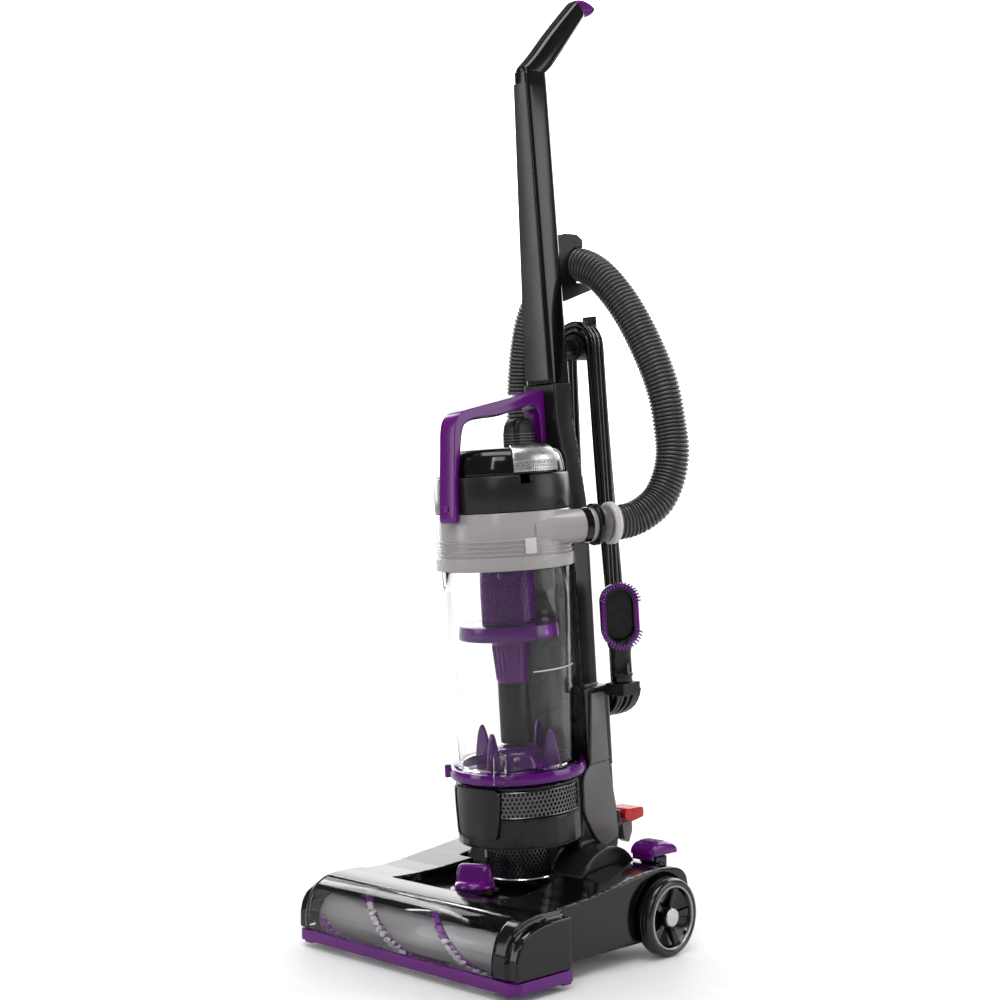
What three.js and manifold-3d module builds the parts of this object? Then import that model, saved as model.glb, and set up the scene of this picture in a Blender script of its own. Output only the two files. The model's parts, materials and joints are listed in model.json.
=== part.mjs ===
// Upright vacuum cleaner, standing parked with its body locked upright.
// Millimetres, +Z up. The front of the nozzle looks along -Y, and +X is on the right as seen from the front.
// Origin: middle of the footprint, on the floor.
//
// The foot is drawn in its own frame, with Y = 0 on the rear wheels' axle.
// The body, the tank and the handle are drawn in the body frame (u, v, w), where w runs up the body.
// The body leans a few degrees forward over the foot.

import * as THREE from "three";
import { mergeVertices } from "three/addons/utils/BufferGeometryUtils.js";
import Module from "manifold-3d";

const wasm = await Module();
wasm.setup();

// ---------------------------------------------------------------- driving dimensions

const GAP = 0.3; // between parts that touch
const LEAN = THREE.MathUtils.degToRad(4.8); // how far the body leans forward
const AXLE_FROM_CENTRE = 77.7; // rear axle behind the middle of the footprint

// foot
const NOZZLE = { half: 171.5, back: -172.3, floor: 9 };
const DECK = { half: 150, back: -75.5, recess: 68 };
const ARM = { inner: 94.5, outer: 150 };
const WALL = 3;
const WHEEL = { radius: 42.7, inner: 146, outer: 167, axle: 4 };
const PIVOT = { y: -20, z: 62, bore: 24.4 };
const BRUSH = { y: -218, z: 32, drum: 22, strip: 25.6, left: -150, right: 137 };
const WINDOW = { left: -152.7, right: 138.7, thick: 2.2 };
const BELT = { x0: 128, x1: 136, motor: 7, brush: 14, thick: 2 };
const ROLLER = { x: 52, y: -149, radius: 11, width: 16 };
const KNOB = { y: -144, base: 24, top: 17, low: 72, high: 98 };

// body
const TANK_V = -58; // the tank's axis in the body frame
const DRUM = { radius: 52, half: 92, trunnion: 24, trunnionEnd: 97 };
const HOUSING = { radius: 72, half: 62, back: 42, low: 126, top: 195.7 };
const NECK = { radius: 44, low: 82 };
const SPINE = { half: 45, wide: 62, wideTop: 290, back: 42, top: 641, cradle: 80.5 };
const HANDLE = { low: 641.3, high: 1003, halfLow: 21.5, halfHigh: 11.5, front: 12, depth: 36 };

// tank
const CUP = { low: 211.4, high: 434.6, radiusLow: 66.5, radiusHigh: 73.5, wall: 2.5 };
const DOOR = { low: 198, high: 211, radius: 77.5 };
const COLLAR = { band: 450, top: 499, radius: 77.5, bandRadius: 79, inner: 74 };
const LID = { low: 499.3, high: 540, radius: 77, inner: 70 };
const SPOUT = { offset: 60, end: 81, radius: 19, bore: 16.5, w: 478, turn: THREE.MathUtils.degToRad(70) };

// cord and hose
const CORD = 7;
const HOSE = 40;
const HOSE_BORE = 34;

// ---------------------------------------------------------------- finishes

const finish = (color, roughness, metalness = 0, opacity = 1) =>
  new THREE.MeshStandardMaterial({ color, roughness, metalness, opacity, transparent: opacity < 1 });

const BLACK = finish(0x101012, 0.28);
const MATT_BLACK = finish(0x1b1b1d, 0.6);
const DARK_GREY = finish(0x35343a, 0.4);
const MID_GREY = finish(0x8d8a8c, 0.45);
const PURPLE = finish(0x5b1478, 0.25);
const RED = finish(0xd63a3a, 0.35);
const CLEAR = finish(0xe9e6ea, 0.08, 0, 0.35);
const SMOKE = finish(0xb9b3b8, 0.2, 0, 0.6);
const STEEL = finish(0xc9c9cc, 0.25, 0.9);
const RUBBER = finish(0x161616, 0.7);
const FOAM = finish(0x2e2e33, 0.95);

// ---------------------------------------------------------------- solids

// A closed geometry as a solid, facing out.
function solid(geometry) {
  const bare = geometry.clone();
  bare.deleteAttribute("normal");
  bare.deleteAttribute("uv");
  const merged = mergeVertices(bare, 1e-4);
  const triVerts = new Uint32Array(merged.index.array);
  const vertProperties = merged.attributes.position.array;
  const made = new wasm.Manifold(new wasm.Mesh({ numProp: 3, vertProperties, triVerts }));
  if (made.volume() > 0) return made;
  triVerts.reverse();
  return new wasm.Manifold(new wasm.Mesh({ numProp: 3, vertProperties, triVerts }));
}

const join = (...solids) => solids.reduce((whole, piece) => whole.add(piece));
const cut = (whole, ...tools) => tools.reduce((left, tool) => left.subtract(tool), whole);

// A solid's triangles as a three.js geometry with flat faces.
function surface(made) {
  const mesh = made.getMesh();
  const geometry = new THREE.BufferGeometry();
  geometry.setAttribute("position", new THREE.BufferAttribute(mesh.vertProperties, 3));
  geometry.setIndex(new THREE.BufferAttribute(mesh.triVerts, 1));
  const flat = geometry.toNonIndexed();
  flat.computeVertexNormals();
  return flat;
}

const shapeOf = (points) => new THREE.Shape(points.map(([a, b]) => new THREE.Vector2(a, b)));

function block([x0, x1], [y0, y1], [z0, z1]) {
  const geometry = new THREE.BoxGeometry(x1 - x0, y1 - y0, z1 - z0);
  geometry.translate((x0 + x1) / 2, (y0 + y1) / 2, (z0 + z1) / 2);
  return solid(geometry);
}

// An outline in the plan (x, y), from z0 up to z1.
function slab(outline, z0, z1) {
  const shape = Array.isArray(outline) ? shapeOf(outline) : outline;
  const options = { depth: z1 - z0, bevelEnabled: false, curveSegments: 5 };
  const geometry = new THREE.ExtrudeGeometry(shape, options);
  geometry.translate(0, 0, z0);
  return solid(geometry);
}

// A side outline (y, z), from x0 across to x1.
function across(outline, x0, x1) {
  const shape = Array.isArray(outline) ? shapeOf(outline) : outline;
  const options = { depth: x1 - x0, bevelEnabled: false, curveSegments: 5 };
  const geometry = new THREE.ExtrudeGeometry(shape, options);
  const turn = new THREE.Matrix4().makeBasis(
    new THREE.Vector3(0, 1, 0),
    new THREE.Vector3(0, 0, 1),
    new THREE.Vector3(1, 0, 0),
  );
  geometry.applyMatrix4(turn);
  geometry.translate(x0, 0, 0);
  return solid(geometry);
}

// A front outline (x, z), from y0 back to y1.
function along(outline, y0, y1) {
  const shape = Array.isArray(outline) ? shapeOf(outline) : outline;
  const options = { depth: y1 - y0, bevelEnabled: false, curveSegments: 5 };
  const geometry = new THREE.ExtrudeGeometry(shape, options);
  const turn = new THREE.Matrix4().makeBasis(
    new THREE.Vector3(1, 0, 0),
    new THREE.Vector3(0, 0, 1),
    new THREE.Vector3(0, -1, 0),
  );
  geometry.applyMatrix4(turn);
  geometry.translate(0, y1, 0);
  return solid(geometry);
}

// A profile of [radius, height] turned about the vertical line through (x, y).
function turned(profile, x, y, sides) {
  const points = profile.map(([r, z]) => new THREE.Vector2(r, z));
  const geometry = new THREE.LatheGeometry([...points, points[0]], sides);
  geometry.rotateX(Math.PI / 2);
  geometry.translate(x, y, 0);
  return solid(geometry);
}

const disc = (radius, z0, z1, x, y, sides) =>
  turned([[0, z0], [radius, z0], [radius, z1], [0, z1]], x, y, sides);

const ring = (outer, inner, z0, z1, x, y, sides) =>
  turned([[inner, z0], [outer, z0], [outer, z1], [inner, z1]], x, y, sides);

// A round bar along X.
function barX(radius, x0, x1, y, z, sides = 24) {
  const geometry = new THREE.CylinderGeometry(radius, radius, x1 - x0, sides);
  geometry.rotateZ(Math.PI / 2);
  geometry.translate((x0 + x1) / 2, y, z);
  return solid(geometry);
}

// A round bar along Y.
function barY(radius, y0, y1, x, z, sides = 24) {
  const geometry = new THREE.CylinderGeometry(radius, radius, y1 - y0, sides);
  geometry.translate(x, (y0 + y1) / 2, z);
  return solid(geometry);
}

const ringX = (outer, inner, x0, x1, y, z, sides) =>
  cut(barX(outer, x0, x1, y, z, sides), barX(inner, x0 - 1, x1 + 1, y, z, sides));

// A wedge of the plan about the tank's axis, between two angles in degrees, to cut ring sectors with.
function wedge(from, to, radius, z0, z1) {
  const steps = 8;
  const points = [[0, TANK_V]];
  for (let i = 0; i <= steps; i++) {
    const angle = THREE.MathUtils.degToRad(from + ((to - from) * i) / steps);
    points.push([radius * Math.cos(angle), TANK_V + radius * Math.sin(angle)]);
  }
  return slab(points, z0, z1);
}

function polygon(diameter, sides) {
  const points = [];
  for (let i = 0; i < sides; i++) {
    const angle = (2 * Math.PI * i) / sides;
    points.push([(diameter / 2) * Math.cos(angle), (diameter / 2) * Math.sin(angle)]);
  }
  return shapeOf(points);
}

// A round bar or, with a bore, a tube along a smooth route through the given points.
function cable(points, diameter, steps, sides, bore = 0) {
  const route = new THREE.CatmullRomCurve3(points.map((p) => new THREE.Vector3(...p)));
  const section = polygon(diameter, sides);
  if (bore) section.holes.push(polygon(bore, sides));
  return solid(new THREE.ExtrudeGeometry(section, { steps, extrudePath: route, bevelEnabled: false }));
}

// A rounded rectangle centred on (0, 0).
function roundedRectangle(width, height, radius) {
  const [a, b] = [width / 2 - radius, height / 2 - radius];
  const shape = new THREE.Shape();
  shape.absarc(a, b, radius, 0, Math.PI / 2);
  shape.absarc(-a, b, radius, Math.PI / 2, Math.PI);
  shape.absarc(-a, -b, radius, Math.PI, 1.5 * Math.PI);
  shape.absarc(a, -b, radius, 1.5 * Math.PI, 2 * Math.PI);
  return shape;
}

const mirrored = (made) => made.mirror([1, 0, 0]);

const vacuum = new THREE.Group();
vacuum.position.y = AXLE_FROM_CENTRE;
const foot = new THREE.Group();
const body = new THREE.Group();
body.rotation.x = LEAN;
vacuum.add(foot, body);

function part(group, name, made, material) {
  const mesh = new THREE.Mesh(surface(made), material);
  mesh.name = name;
  group.add(mesh);
}

// The recline pivot, seen from the body frame.
const PIVOT_V = PIVOT.y * Math.cos(LEAN) + PIVOT.z * Math.sin(LEAN);
const PIVOT_W = PIVOT.z * Math.cos(LEAN) - PIVOT.y * Math.sin(LEAN);

// ---------------------------------------------------------------- foot

// Side outline of the nozzle between its end caps, front lip to back.
const NOZZLE_SIDE = [
  [-172.3, 78], [-205, 78.5], [-228, 76], [-242, 69], [-251, 58], [-255.5, 44], [-256.5, 30], [-255, 19.6],
];
// The lower, rounder outline of the end caps.
const CAP_SIDE = [
  [-172.3, 73], [-200, 72.5], [-224, 69], [-240, 62], [-249, 53], [-253, 42], [-254, 30], [-253.5, 19.6],
];
const DECK_SIDE = [[-176, 20.3], [-176, 78], [-120, 81], [-75.5, 87], [-75.5, 20.3]];
const ARM_SIDE = [
  [-120, 20.3], [-120, 81], [-75, 87], [-20, 94], [22, 93], [42, 84], [48, 68], [48, 34], [38, 20.3],
];

// The hollows inside them, with a ceiling under the deck's recess and a wall left at the back.
const NOZZLE_ROOM = [
  [-175.6, 64.8], [-196, 64.8], [-206, 74.5], [-226, 72.5], [-239.5, 66], [-248, 56.5],
  [-252.5, 44], [-253.5, 30], [-252, 10],
];
const CAP_ROOM = [
  [-175.6, 64.8], [-196, 64.8], [-222, 65.5], [-238, 59], [-246, 51], [-249.6, 42], [-250.6, 30], [-250, 10],
];

const closedDown = (side, z) => [[side[0][0], z], ...side, [side[side.length - 1][0], z]];

function nozzleCover() {
  const nozzle = across(closedDown(NOZZLE_SIDE, 19.6), -158, 158);
  const caps = across(closedDown(CAP_SIDE, 19.6), -NOZZLE.half, NOZZLE.half);
  const deck = across(DECK_SIDE, -DECK.half, DECK.half);
  const arm = across(ARM_SIDE, ARM.inner, ARM.outer);
  const outer = join(nozzle, caps, deck, arm, mirrored(arm));

  const nozzleRoom = across(closedDown(NOZZLE_ROOM, 10), -155, 155);
  const capRoom = across(closedDown(CAP_ROOM, 10), -168.3, 168.3);
  const deckRoom = block([-147, 147], [-177, DECK.back - WALL], [10, DECK.recess - WALL - 0.2]);
  const shoulderRoom = block([95, 146], [-177, DECK.back - WALL], [10, 74]);
  const armRoom = block([ARM.inner + WALL, 141], [-130, 36], [10, 76]);
  const pivotBore = barX(PIVOT.bore, 90, ARM.inner + WALL + 1, PIVOT.y, PIVOT.z, 24);
  const axleBore = barX(WHEEL.axle + GAP, 120, WHEEL.inner, 0, WHEEL.radius, 16);
  const wheelWell = barX(WHEEL.radius + 3.5, WHEEL.inner - 1.6, ARM.outer + 1, 0, WHEEL.radius, 24);
  const sideTools = [shoulderRoom, armRoom, pivotBore, axleBore, wheelWell];
  const drumRoom = barX(DRUM.radius + 2.3, -ARM.inner + 0.2, ARM.inner - 0.2, PIVOT.y, PIVOT.z, 32);
  const recess = slab([[-88, -188], [88, -188], [70, -70], [-70, -70]], DECK.recess, 130);
  const opening = across([[-270, 19], [-270, 95], [-227.7, 95], [-227.7, 60], [-205, 60], [-205, 19]],
    WINDOW.left - GAP, WINDOW.right + GAP);
  const knobHole = disc(9.4, 60, 70, 0, KNOB.y, 24);
  return cut(outer, nozzleRoom, capRoom, deckRoom, drumRoom, recess, opening, knobHole,
    ...sideTools, ...sideTools.map(mirrored));
}

// The post that carries the release pedal stands on the right arm.
function pedalPost() {
  const post = block([100, 122], [24, 44], [84, 100]);
  const ribs = [104, 111, 118].map((x) => block([x - 1, x + 1], [20, 48], [84, 98]));
  return join(post, ...ribs);
}

function chassis() {
  const sole = block([-163, 163], [-246, NOZZLE.back], [NOZZLE.floor, 12]);
  const riser = block([-146.6, 146.6], [-175, NOZZLE.back], [NOZZLE.floor, 20]);
  const tray = block([-145.4, 145.4], [-175, DECK.back - 0.3], [17, 20]);
  const armTray = block([ARM.inner + 0.3, 145.4], [-90, 34], [17, 20]);
  const mouth = block([-152, 126], [-244, -180], [0, 15]);
  const rollerSlot = block([-74, 74], [-170, -128], [0, 30]);
  return cut(join(sole, riser, tray, armTray, mirrored(armTray)), mouth, rollerSlot);
}

// Plan of the bumper strip's outer edge, with round front corners.
function stripPlan(half, front, radius) {
  const shape = new THREE.Shape();
  shape.moveTo(half, NOZZLE.back);
  shape.lineTo(-half, NOZZLE.back);
  shape.absarc(-half + radius, front + radius, radius, Math.PI, 1.5 * Math.PI);
  shape.absarc(half - radius, front + radius, radius, 1.5 * Math.PI, 2 * Math.PI);
  return shape;
}

function baseStrip() {
  const band = slab(stripPlan(172.5, -257, 12), 7.4, 19.2);
  const inside = slab(stripPlan(166.4, -249.4, 6), 0, 30);
  const open = block([-150, 150], [-200, -170], [0, 30]);
  const pad = block([160, 172], [-186, -174], [5, 8]);
  const frontPad = block([148, 160], [-256, -250], [5, 8]);
  return join(cut(band, inside, open), pad, mirrored(pad), frontPad, mirrored(frontPad));
}

function brushWindow() {
  const outer = [...NOZZLE_SIDE.slice(2, -1), [NOZZLE_SIDE[7][0], 19.9]];
  const inner = outer.map(([y, z]) => [y + WINDOW.thick, z - (z > 25 ? WINDOW.thick * 0.6 : 0)]);
  inner[0] = [outer[0][0] + 0.1, outer[0][1] - WINDOW.thick];
  return across([...outer, ...inner.reverse()], WINDOW.left, WINDOW.right);
}

function brushRoll() {
  const drum = barX(BRUSH.drum, BRUSH.left, BELT.x0 - 4, BRUSH.y, BRUSH.z, 24);
  const pulley = barX(BELT.brush, BELT.x0 - 4, BRUSH.right, BRUSH.y, BRUSH.z, 24);
  const shaft = barX(4, BRUSH.left - 12, BRUSH.right + 14, BRUSH.y, BRUSH.z, 16);
  return join(drum, pulley, shaft);
}

// A bristle strip winds round the drum; the two strips start on opposite sides.
function bristleStrip(startAngle) {
  const points = [];
  const turns = 1.25;
  for (let i = 0; i <= 24; i++) {
    const angle = startAngle + (2 * Math.PI * turns * i) / 24;
    const x = BRUSH.left + 8 + ((BELT.x0 - 18 - BRUSH.left) * i) / 24;
    points.push([x, BRUSH.y + BRUSH.strip * Math.cos(angle), BRUSH.z + BRUSH.strip * Math.sin(angle)]);
  }
  const strand = cable(points, 5.6, 26, 6);
  return cut(strand, barX(BRUSH.drum + GAP, BRUSH.left - 5, BELT.x0, BRUSH.y, BRUSH.z, 24));
}

function brushBearing(x0, x1) {
  const shell = block([x0, x1], [BRUSH.y - 12, BRUSH.y + 12], [13, 46]);
  return cut(shell, barX(4.3, x0 - 1, x1 + 1, BRUSH.y, BRUSH.z, 16));
}

// Belt loop round the two pulleys: the outline that wraps both circles, less the same outline drawn tighter.
function beltLoop(extra) {
  const dy = BRUSH.y - PIVOT.y;
  const dz = BRUSH.z - PIVOT.z;
  const span = Math.hypot(dy, dz);
  const direction = Math.atan2(dz, dy);
  const spread = Math.acos((BELT.brush - BELT.motor) / span);
  const first = direction + Math.PI - spread;
  const second = direction + Math.PI + spread;
  const shape = new THREE.Shape();
  shape.absarc(BRUSH.y, BRUSH.z, BELT.brush + extra, first, second, true);
  shape.absarc(PIVOT.y, PIVOT.z, BELT.motor + extra, second, first, true);
  return shape;
}

function driveBelt() {
  const outside = across(beltLoop(GAP + BELT.thick), BELT.x0, BELT.x1);
  const inside = across(beltLoop(GAP), BELT.x0 - 1, BELT.x1 + 1);
  return cut(outside, inside);
}

function tyre() {
  const { radius, inner, outer } = WHEEL;
  const profile = [
    [33, inner], [radius - 4, inner], [radius, inner + 5], [radius, outer - 5],
    [radius - 4, outer], [35.5, outer], [35.5, outer - 4], [33, outer - 4],
  ];
  return tippedToX(turned(profile, 0, 0, 32));
}

// A solid turned about Z laid over so that its axis is the wheel axle along X.
function tippedToX(made) {
  const matrix = new THREE.Matrix4().makeRotationY(Math.PI / 2);
  matrix.premultiply(new THREE.Matrix4().makeTranslation(0, 0, WHEEL.radius));
  return made.transform(matrix.elements);
}

function wheelRim() {
  const { inner, outer, axle } = WHEEL;
  const rimBand = ring(32.7, 29, inner + 1, outer - 3.6, 0, 0, 20);
  const web = ring(30, axle + 0.25, inner + 7, inner + 10, 0, 0, 20);
  const hub = ring(10, axle + 0.25, inner + 1, outer - 3, 0, 0, 12);
  const cap = disc(9.5, outer - 3.1, outer - 1, 0, 0, 12);
  const spokes = [];
  for (let i = 0; i < 7; i++) {
    const spoke = block([8, 30], [-1.6, 1.6], [inner + 9, outer - 5]);
    spokes.push(spoke.rotate([0, 0, (360 / 7) * i]));
  }
  return tippedToX(join(rimBand, web, hub, cap, ...spokes));
}

const wheelAxle = () => barX(WHEEL.axle, 118, WHEEL.outer - 3.5, 0, WHEEL.radius, 16);

function heightCarriage() {
  const plate = block([-70, 70], [ROLLER.y - 14, ROLLER.y + 14], [24, 27]);
  const cheeks = [-1, 1].flatMap((side) => [-1, 1].map((end) => {
    const x = side * ROLLER.x + end * (ROLLER.width / 2 + 2.4);
    return block([x - 1.5, x + 1.5], [ROLLER.y - 6, ROLLER.y + 6], [5, 25]);
  }));
  const pins = [-1, 1].map((side) => {
    const x = side * ROLLER.x;
    return barX(2.5, x - ROLLER.width / 2 - 3.5, x + ROLLER.width / 2 + 3.5, ROLLER.y, ROLLER.radius, 12);
  });
  const stem = disc(5, 26, 60, 0, KNOB.y, 16);
  return join(plate, ...cheeks, ...pins, stem);
}

function frontRoller() {
  const { radius, width, x, y } = ROLLER;
  return ringX(radius, 2.8, x - width / 2, x + width / 2, y, radius, 24);
}

function heightKnob() {
  const profile = [
    [5.4, 49], [9, 49], [9, 68.4], [27, 68.4], [28, 71], [KNOB.base, KNOB.low], [KNOB.base - 1, KNOB.low + 5],
    [KNOB.top, KNOB.high - 2], [KNOB.top - 3, KNOB.high], [0, KNOB.high], [0, 64], [5.4, 64],
  ];
  const turnedKnob = turned(profile, 0, KNOB.y, 20);
  const fin = block([-2, 2], [KNOB.y - 21, KNOB.y + 21], [KNOB.low + 2, KNOB.high + 1]);
  return join(turnedKnob, fin);
}

function releasePedal() {
  const side = [[12, 106], [13, 112], [22, 117], [48, 115], [56, 105], [56, 102], [12, 102]];
  const pad = across(side, 93, 128);
  const skirt = block([96, 125], [12.5, 17], [96, 103]);
  const underside = block([97, 124], [18, 52], [90, 104.5]);
  return cut(join(pad, skirt), underside);
}

part(foot, "nozzle_cover", join(nozzleCover(), pedalPost()), BLACK);
part(foot, "chassis", chassis(), MATT_BLACK);
part(foot, "base_strip", baseStrip(), PURPLE);
part(foot, "brush_window", brushWindow(), CLEAR);
part(foot, "brush_roll", brushRoll(), MID_GREY);
part(foot, "bristle_strip_a", bristleStrip(0), PURPLE);
part(foot, "bristle_strip_b", bristleStrip(Math.PI), PURPLE);
part(foot, "brush_bearing_left", brushBearing(-165.5, BRUSH.left - 1), MATT_BLACK);
part(foot, "brush_bearing_right", brushBearing(BRUSH.right + 1, 153), MATT_BLACK);
part(foot, "drive_belt", driveBelt(), RUBBER);
for (const [side, place] of [["right", (made) => made], ["left", mirrored]]) {
  part(foot, `tyre_${side}`, place(tyre()), RUBBER);
  part(foot, `wheel_rim_${side}`, place(wheelRim()), STEEL);
  part(foot, `wheel_axle_${side}`, place(wheelAxle()), STEEL);
  part(foot, `front_roller_${side}`, place(frontRoller()), MATT_BLACK);
}
part(foot, "height_carriage", heightCarriage(), MATT_BLACK);
part(foot, "height_knob", heightKnob(), PURPLE);
part(foot, "release_pedal", releasePedal(), PURPLE);

// ---------------------------------------------------------------- body

// The motor housing's block: a round front, wide as the tank, joined to a box, all shrunk by a wall.
function housingBlock(wall, z0, z1) {
  const half = HOUSING.half - wall;
  const back = HOUSING.back - wall;
  const corner = 12;
  const box = new THREE.Shape();
  box.moveTo(-half, TANK_V);
  box.lineTo(half, TANK_V);
  box.absarc(half - corner, back - corner, corner, 0, Math.PI / 2);
  box.absarc(-half + corner, back - corner, corner, Math.PI / 2, Math.PI);
  return join(disc(HOUSING.radius - wall, z0, z1, 0, TANK_V, 32), slab(box, z0, z1));
}

function motorHousing() {
  const drum = barX(DRUM.radius, -DRUM.half, DRUM.half, PIVOT_V, PIVOT_W, 32);
  const trunnions = barX(DRUM.trunnion, -DRUM.trunnionEnd, DRUM.trunnionEnd, PIVOT_V, PIVOT_W, 24);
  const main = housingBlock(0, HOUSING.low, HOUSING.top);
  const neck = join(
    disc(NECK.radius, NECK.low, HOUSING.low + 1, 0, TANK_V, 24),
    block([-NECK.radius, NECK.radius], [TANK_V, -20], [NECK.low, HOUSING.low + 1]),
  );
  const rear = across([[-25, 70], [-30, 127], [42, 127], [34, 84]], -HOUSING.half, HOUSING.half);
  const elbow = join(
    disc(23, 128, 178, -60, 66, 20),
    block([-62, -40], [38, 66], [130, 170]),
  );
  const pedalBracket = block([40, 62], [40, 47], [124, 142]);
  const outer = join(drum, trunnions, main, neck, rear, elbow, pedalBracket);

  const drumRoom = barX(DRUM.radius - WALL, -DRUM.half + WALL, DRUM.half - WALL, PIVOT_V, PIVOT_W, 32);
  const shaftBore = barX(11, -DRUM.trunnionEnd - 1, DRUM.trunnionEnd + 1, PIVOT_V, PIVOT_W, 24);
  const mainRoom = housingBlock(WALL, HOUSING.low + WALL, HOUSING.top - WALL);
  const neckRoom = join(
    disc(NECK.radius - WALL, NECK.low + WALL, HOUSING.low + 10, 0, TANK_V, 24),
    block([-NECK.radius + WALL, NECK.radius - WALL], [TANK_V, -10], [NECK.low + WALL, HOUSING.low + 10]),
  );
  const roomHalf = HOUSING.half - WALL;
  const rearRoom = across([[-22, 90], [-22, 140], [39, 140], [31, 90]], -roomHalf, roomHalf);
  const elbowRoom = disc(18.5, 136, 200, -60, 66, 20);
  const grilleRoom = cut(
    ring(HOUSING.radius + 9, HOUSING.radius - 4, 160.7, 191.3, 0, TANK_V, 32),
    wedge(21, 159, 120, 100, 220),
  );
  const neckGrilleRoom = cut(
    ring(NECK.radius + 9, NECK.radius - 4, 86.7, 121.3, 0, TANK_V, 32),
    wedge(-2, 182, 120, 60, 220),
  );
  return cut(outer, drumRoom, shaftBore, mainRoom, neckRoom, rearRoom, elbowRoom, grilleRoom, neckGrilleRoom);
}

// A curved grille that fills a round wall, apart from the given angles at its back.
function grille(radius, z0, z1, from, to) {
  const band = ring(radius, radius - WALL, z0, z1, 0, TANK_V, 32);
  return cut(band, wedge(from, to, 120, z0 - 10, z1 + 10));
}

function badgePlate() {
  const band = ring(HOUSING.radius + 5.2, HOUSING.radius + 0.5, 138, 195.4, 0, TANK_V, 32);
  const face = along([[-35, 196], [35, 196], [31, 138], [-31, 138]], -160, -110);
  return band.intersect(face);
}

function exhaustFilter() {
  return housingBlock(WALL + 3, 140, 155);
}

function sidePanel() {
  const outline = [
    [-5, 203], [-19, 192], [-19.5, 150], [-4, 122], [14, 108], [34, 108], [34, 150], [26, 195.5],
    [24, 284], [-2, 284],
  ];
  return across(outline, HOUSING.half + GAP, HOUSING.half + 3.3);
}

function motorStator() {
  const stack = ringX(42, 26.5, -24, 30, PIVOT_V, PIVOT_W, 32);
  const feet = [-39.1, 39.1].map((offset) => block([-20, 26], [PIVOT_V - 24, PIVOT_V + 24],
    [PIVOT_W + offset - 3.1, PIVOT_W + offset + 3.1]));
  return cut(join(stack, ...feet), barX(26.5, -30, 36, PIVOT_V, PIVOT_W, 32));
}

function motorRotor() {
  const shaft = barX(4, -84, 138, PIVOT_V, PIVOT_W, 12);
  const armature = barX(25.5, -22, 28, PIVOT_V, PIVOT_W, 24);
  const commutator = barX(13, 34, 50, PIVOT_V, PIVOT_W, 16);
  const fanDisc = barX(40, -72, -69, PIVOT_V, PIVOT_W, 24);
  const fanHub = barX(12, -70, -50, PIVOT_V, PIVOT_W, 12);
  const blades = [];
  for (let i = 0; i < 7; i++) {
    const blade = block([-70, -54], [10, 39], [-1, 1]).rotate([(360 / 7) * i, 0, 0]);
    blades.push(blade.translate([0, PIVOT_V, PIVOT_W]));
  }
  const pulley = barX(BELT.motor, 124, 138, PIVOT_V, PIVOT_W, 16);
  return join(shaft, armature, commutator, fanDisc, fanHub, ...blades, pulley);
}

function powerPedal() {
  const pad = across([[48, 130], [48, 139], [54, 142], [82, 139], [82, 127], [60, 125]], 36, 66);
  const underside = block([39, 63], [56, 79], [120, 134]);
  return cut(pad, underside);
}

// Plan of the spine: a hollow cradle behind the tank.
function spinePlan(half) {
  const shape = new THREE.Shape();
  const reach = Math.asin(half / SPINE.cradle);
  shape.absarc(0, TANK_V, SPINE.cradle, Math.PI / 2 - reach, Math.PI / 2 + reach);
  shape.lineTo(-half, SPINE.back - 10);
  shape.absarc(-half + 10, SPINE.back - 10, 10, Math.PI, Math.PI / 2, true);
  shape.absarc(half - 10, SPINE.back - 10, 10, Math.PI / 2, 0, true);
  return shape;
}

function spine() {
  const cradle = slab(spinePlan(SPINE.wide), 196, SPINE.wideTop);
  const column = slab(spinePlan(SPINE.half), SPINE.wideTop - 1, 560);
  const neck = slab(roundedRectangle(2 * SPINE.half, 30, 8), 559, SPINE.top).translate([0, 29, 0]);
  const taper = along([[-70, 190], [70, 190], [70, 300], [45, 300], [45, 480], [24, 600], [24, 645],
    [-24, 645], [-24, 600], [-45, 480], [-45, 300], [-70, 300]], -80, 80);
  const duct = block([-36, 36], [26, SPINE.back - WALL], [190, 520]);
  return cut(join(cradle, column, neck).intersect(taper), duct);
}

const handleHalf = (w) => {
  const t = (w - HANDLE.low) / (HANDLE.high - HANDLE.low);
  return HANDLE.halfLow + (HANDLE.halfHigh - HANDLE.halfLow) * t;
};

// A rounded bar between two heights, narrowing with the handle, between two depths.
function taperedBar(w0, w1, front, back, margin, radius) {
  const depth = back - front;
  const geometry = new THREE.ExtrudeGeometry(roundedRectangle(2, depth, radius), {
    depth: w1 - w0, bevelEnabled: false, curveSegments: 3,
  });
  geometry.translate(0, (front + back) / 2, w0);
  const position = geometry.attributes.position;
  for (let i = 0; i < position.count; i++) {
    const half = handleHalf(position.getZ(i)) - margin;
    position.setX(i, position.getX(i) * half);
  }
  return solid(geometry);
}

// The handle is a hollow moulding, open at its foot and closed at the top under the grip.
function handleTube() {
  const { low, high, front, depth } = HANDLE;
  const outside = taperedBar(low, high, front, front + depth, 0, 0.3);
  const inside = taperedBar(low - 1, high - 20, front + WALL, front + depth - WALL, WALL, 0.3);
  return cut(outside, inside);
}

const handleStrip = () =>
  taperedBar(HANDLE.low + 4, HANDLE.high - 14, HANDLE.front - 2.3, HANDLE.front - GAP, 2.5, 0.1);

function handleGrip() {
  const outline = [[12.2, 1003.3], [15, 1008], [24, 1014], [108, 1096], [122.5, 1078], [70, 1022], [55, 1008],
    [49, 1003.3]];
  return across(outline, -11.5, 11.5);
}

function gripCap() {
  const outline = [[108.4, 1096.3], [116, 1099], [131, 1098.6], [140, 1092], [138, 1084], [122.9, 1078.3]];
  return across(outline, -11.5, 11.5);
}

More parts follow.
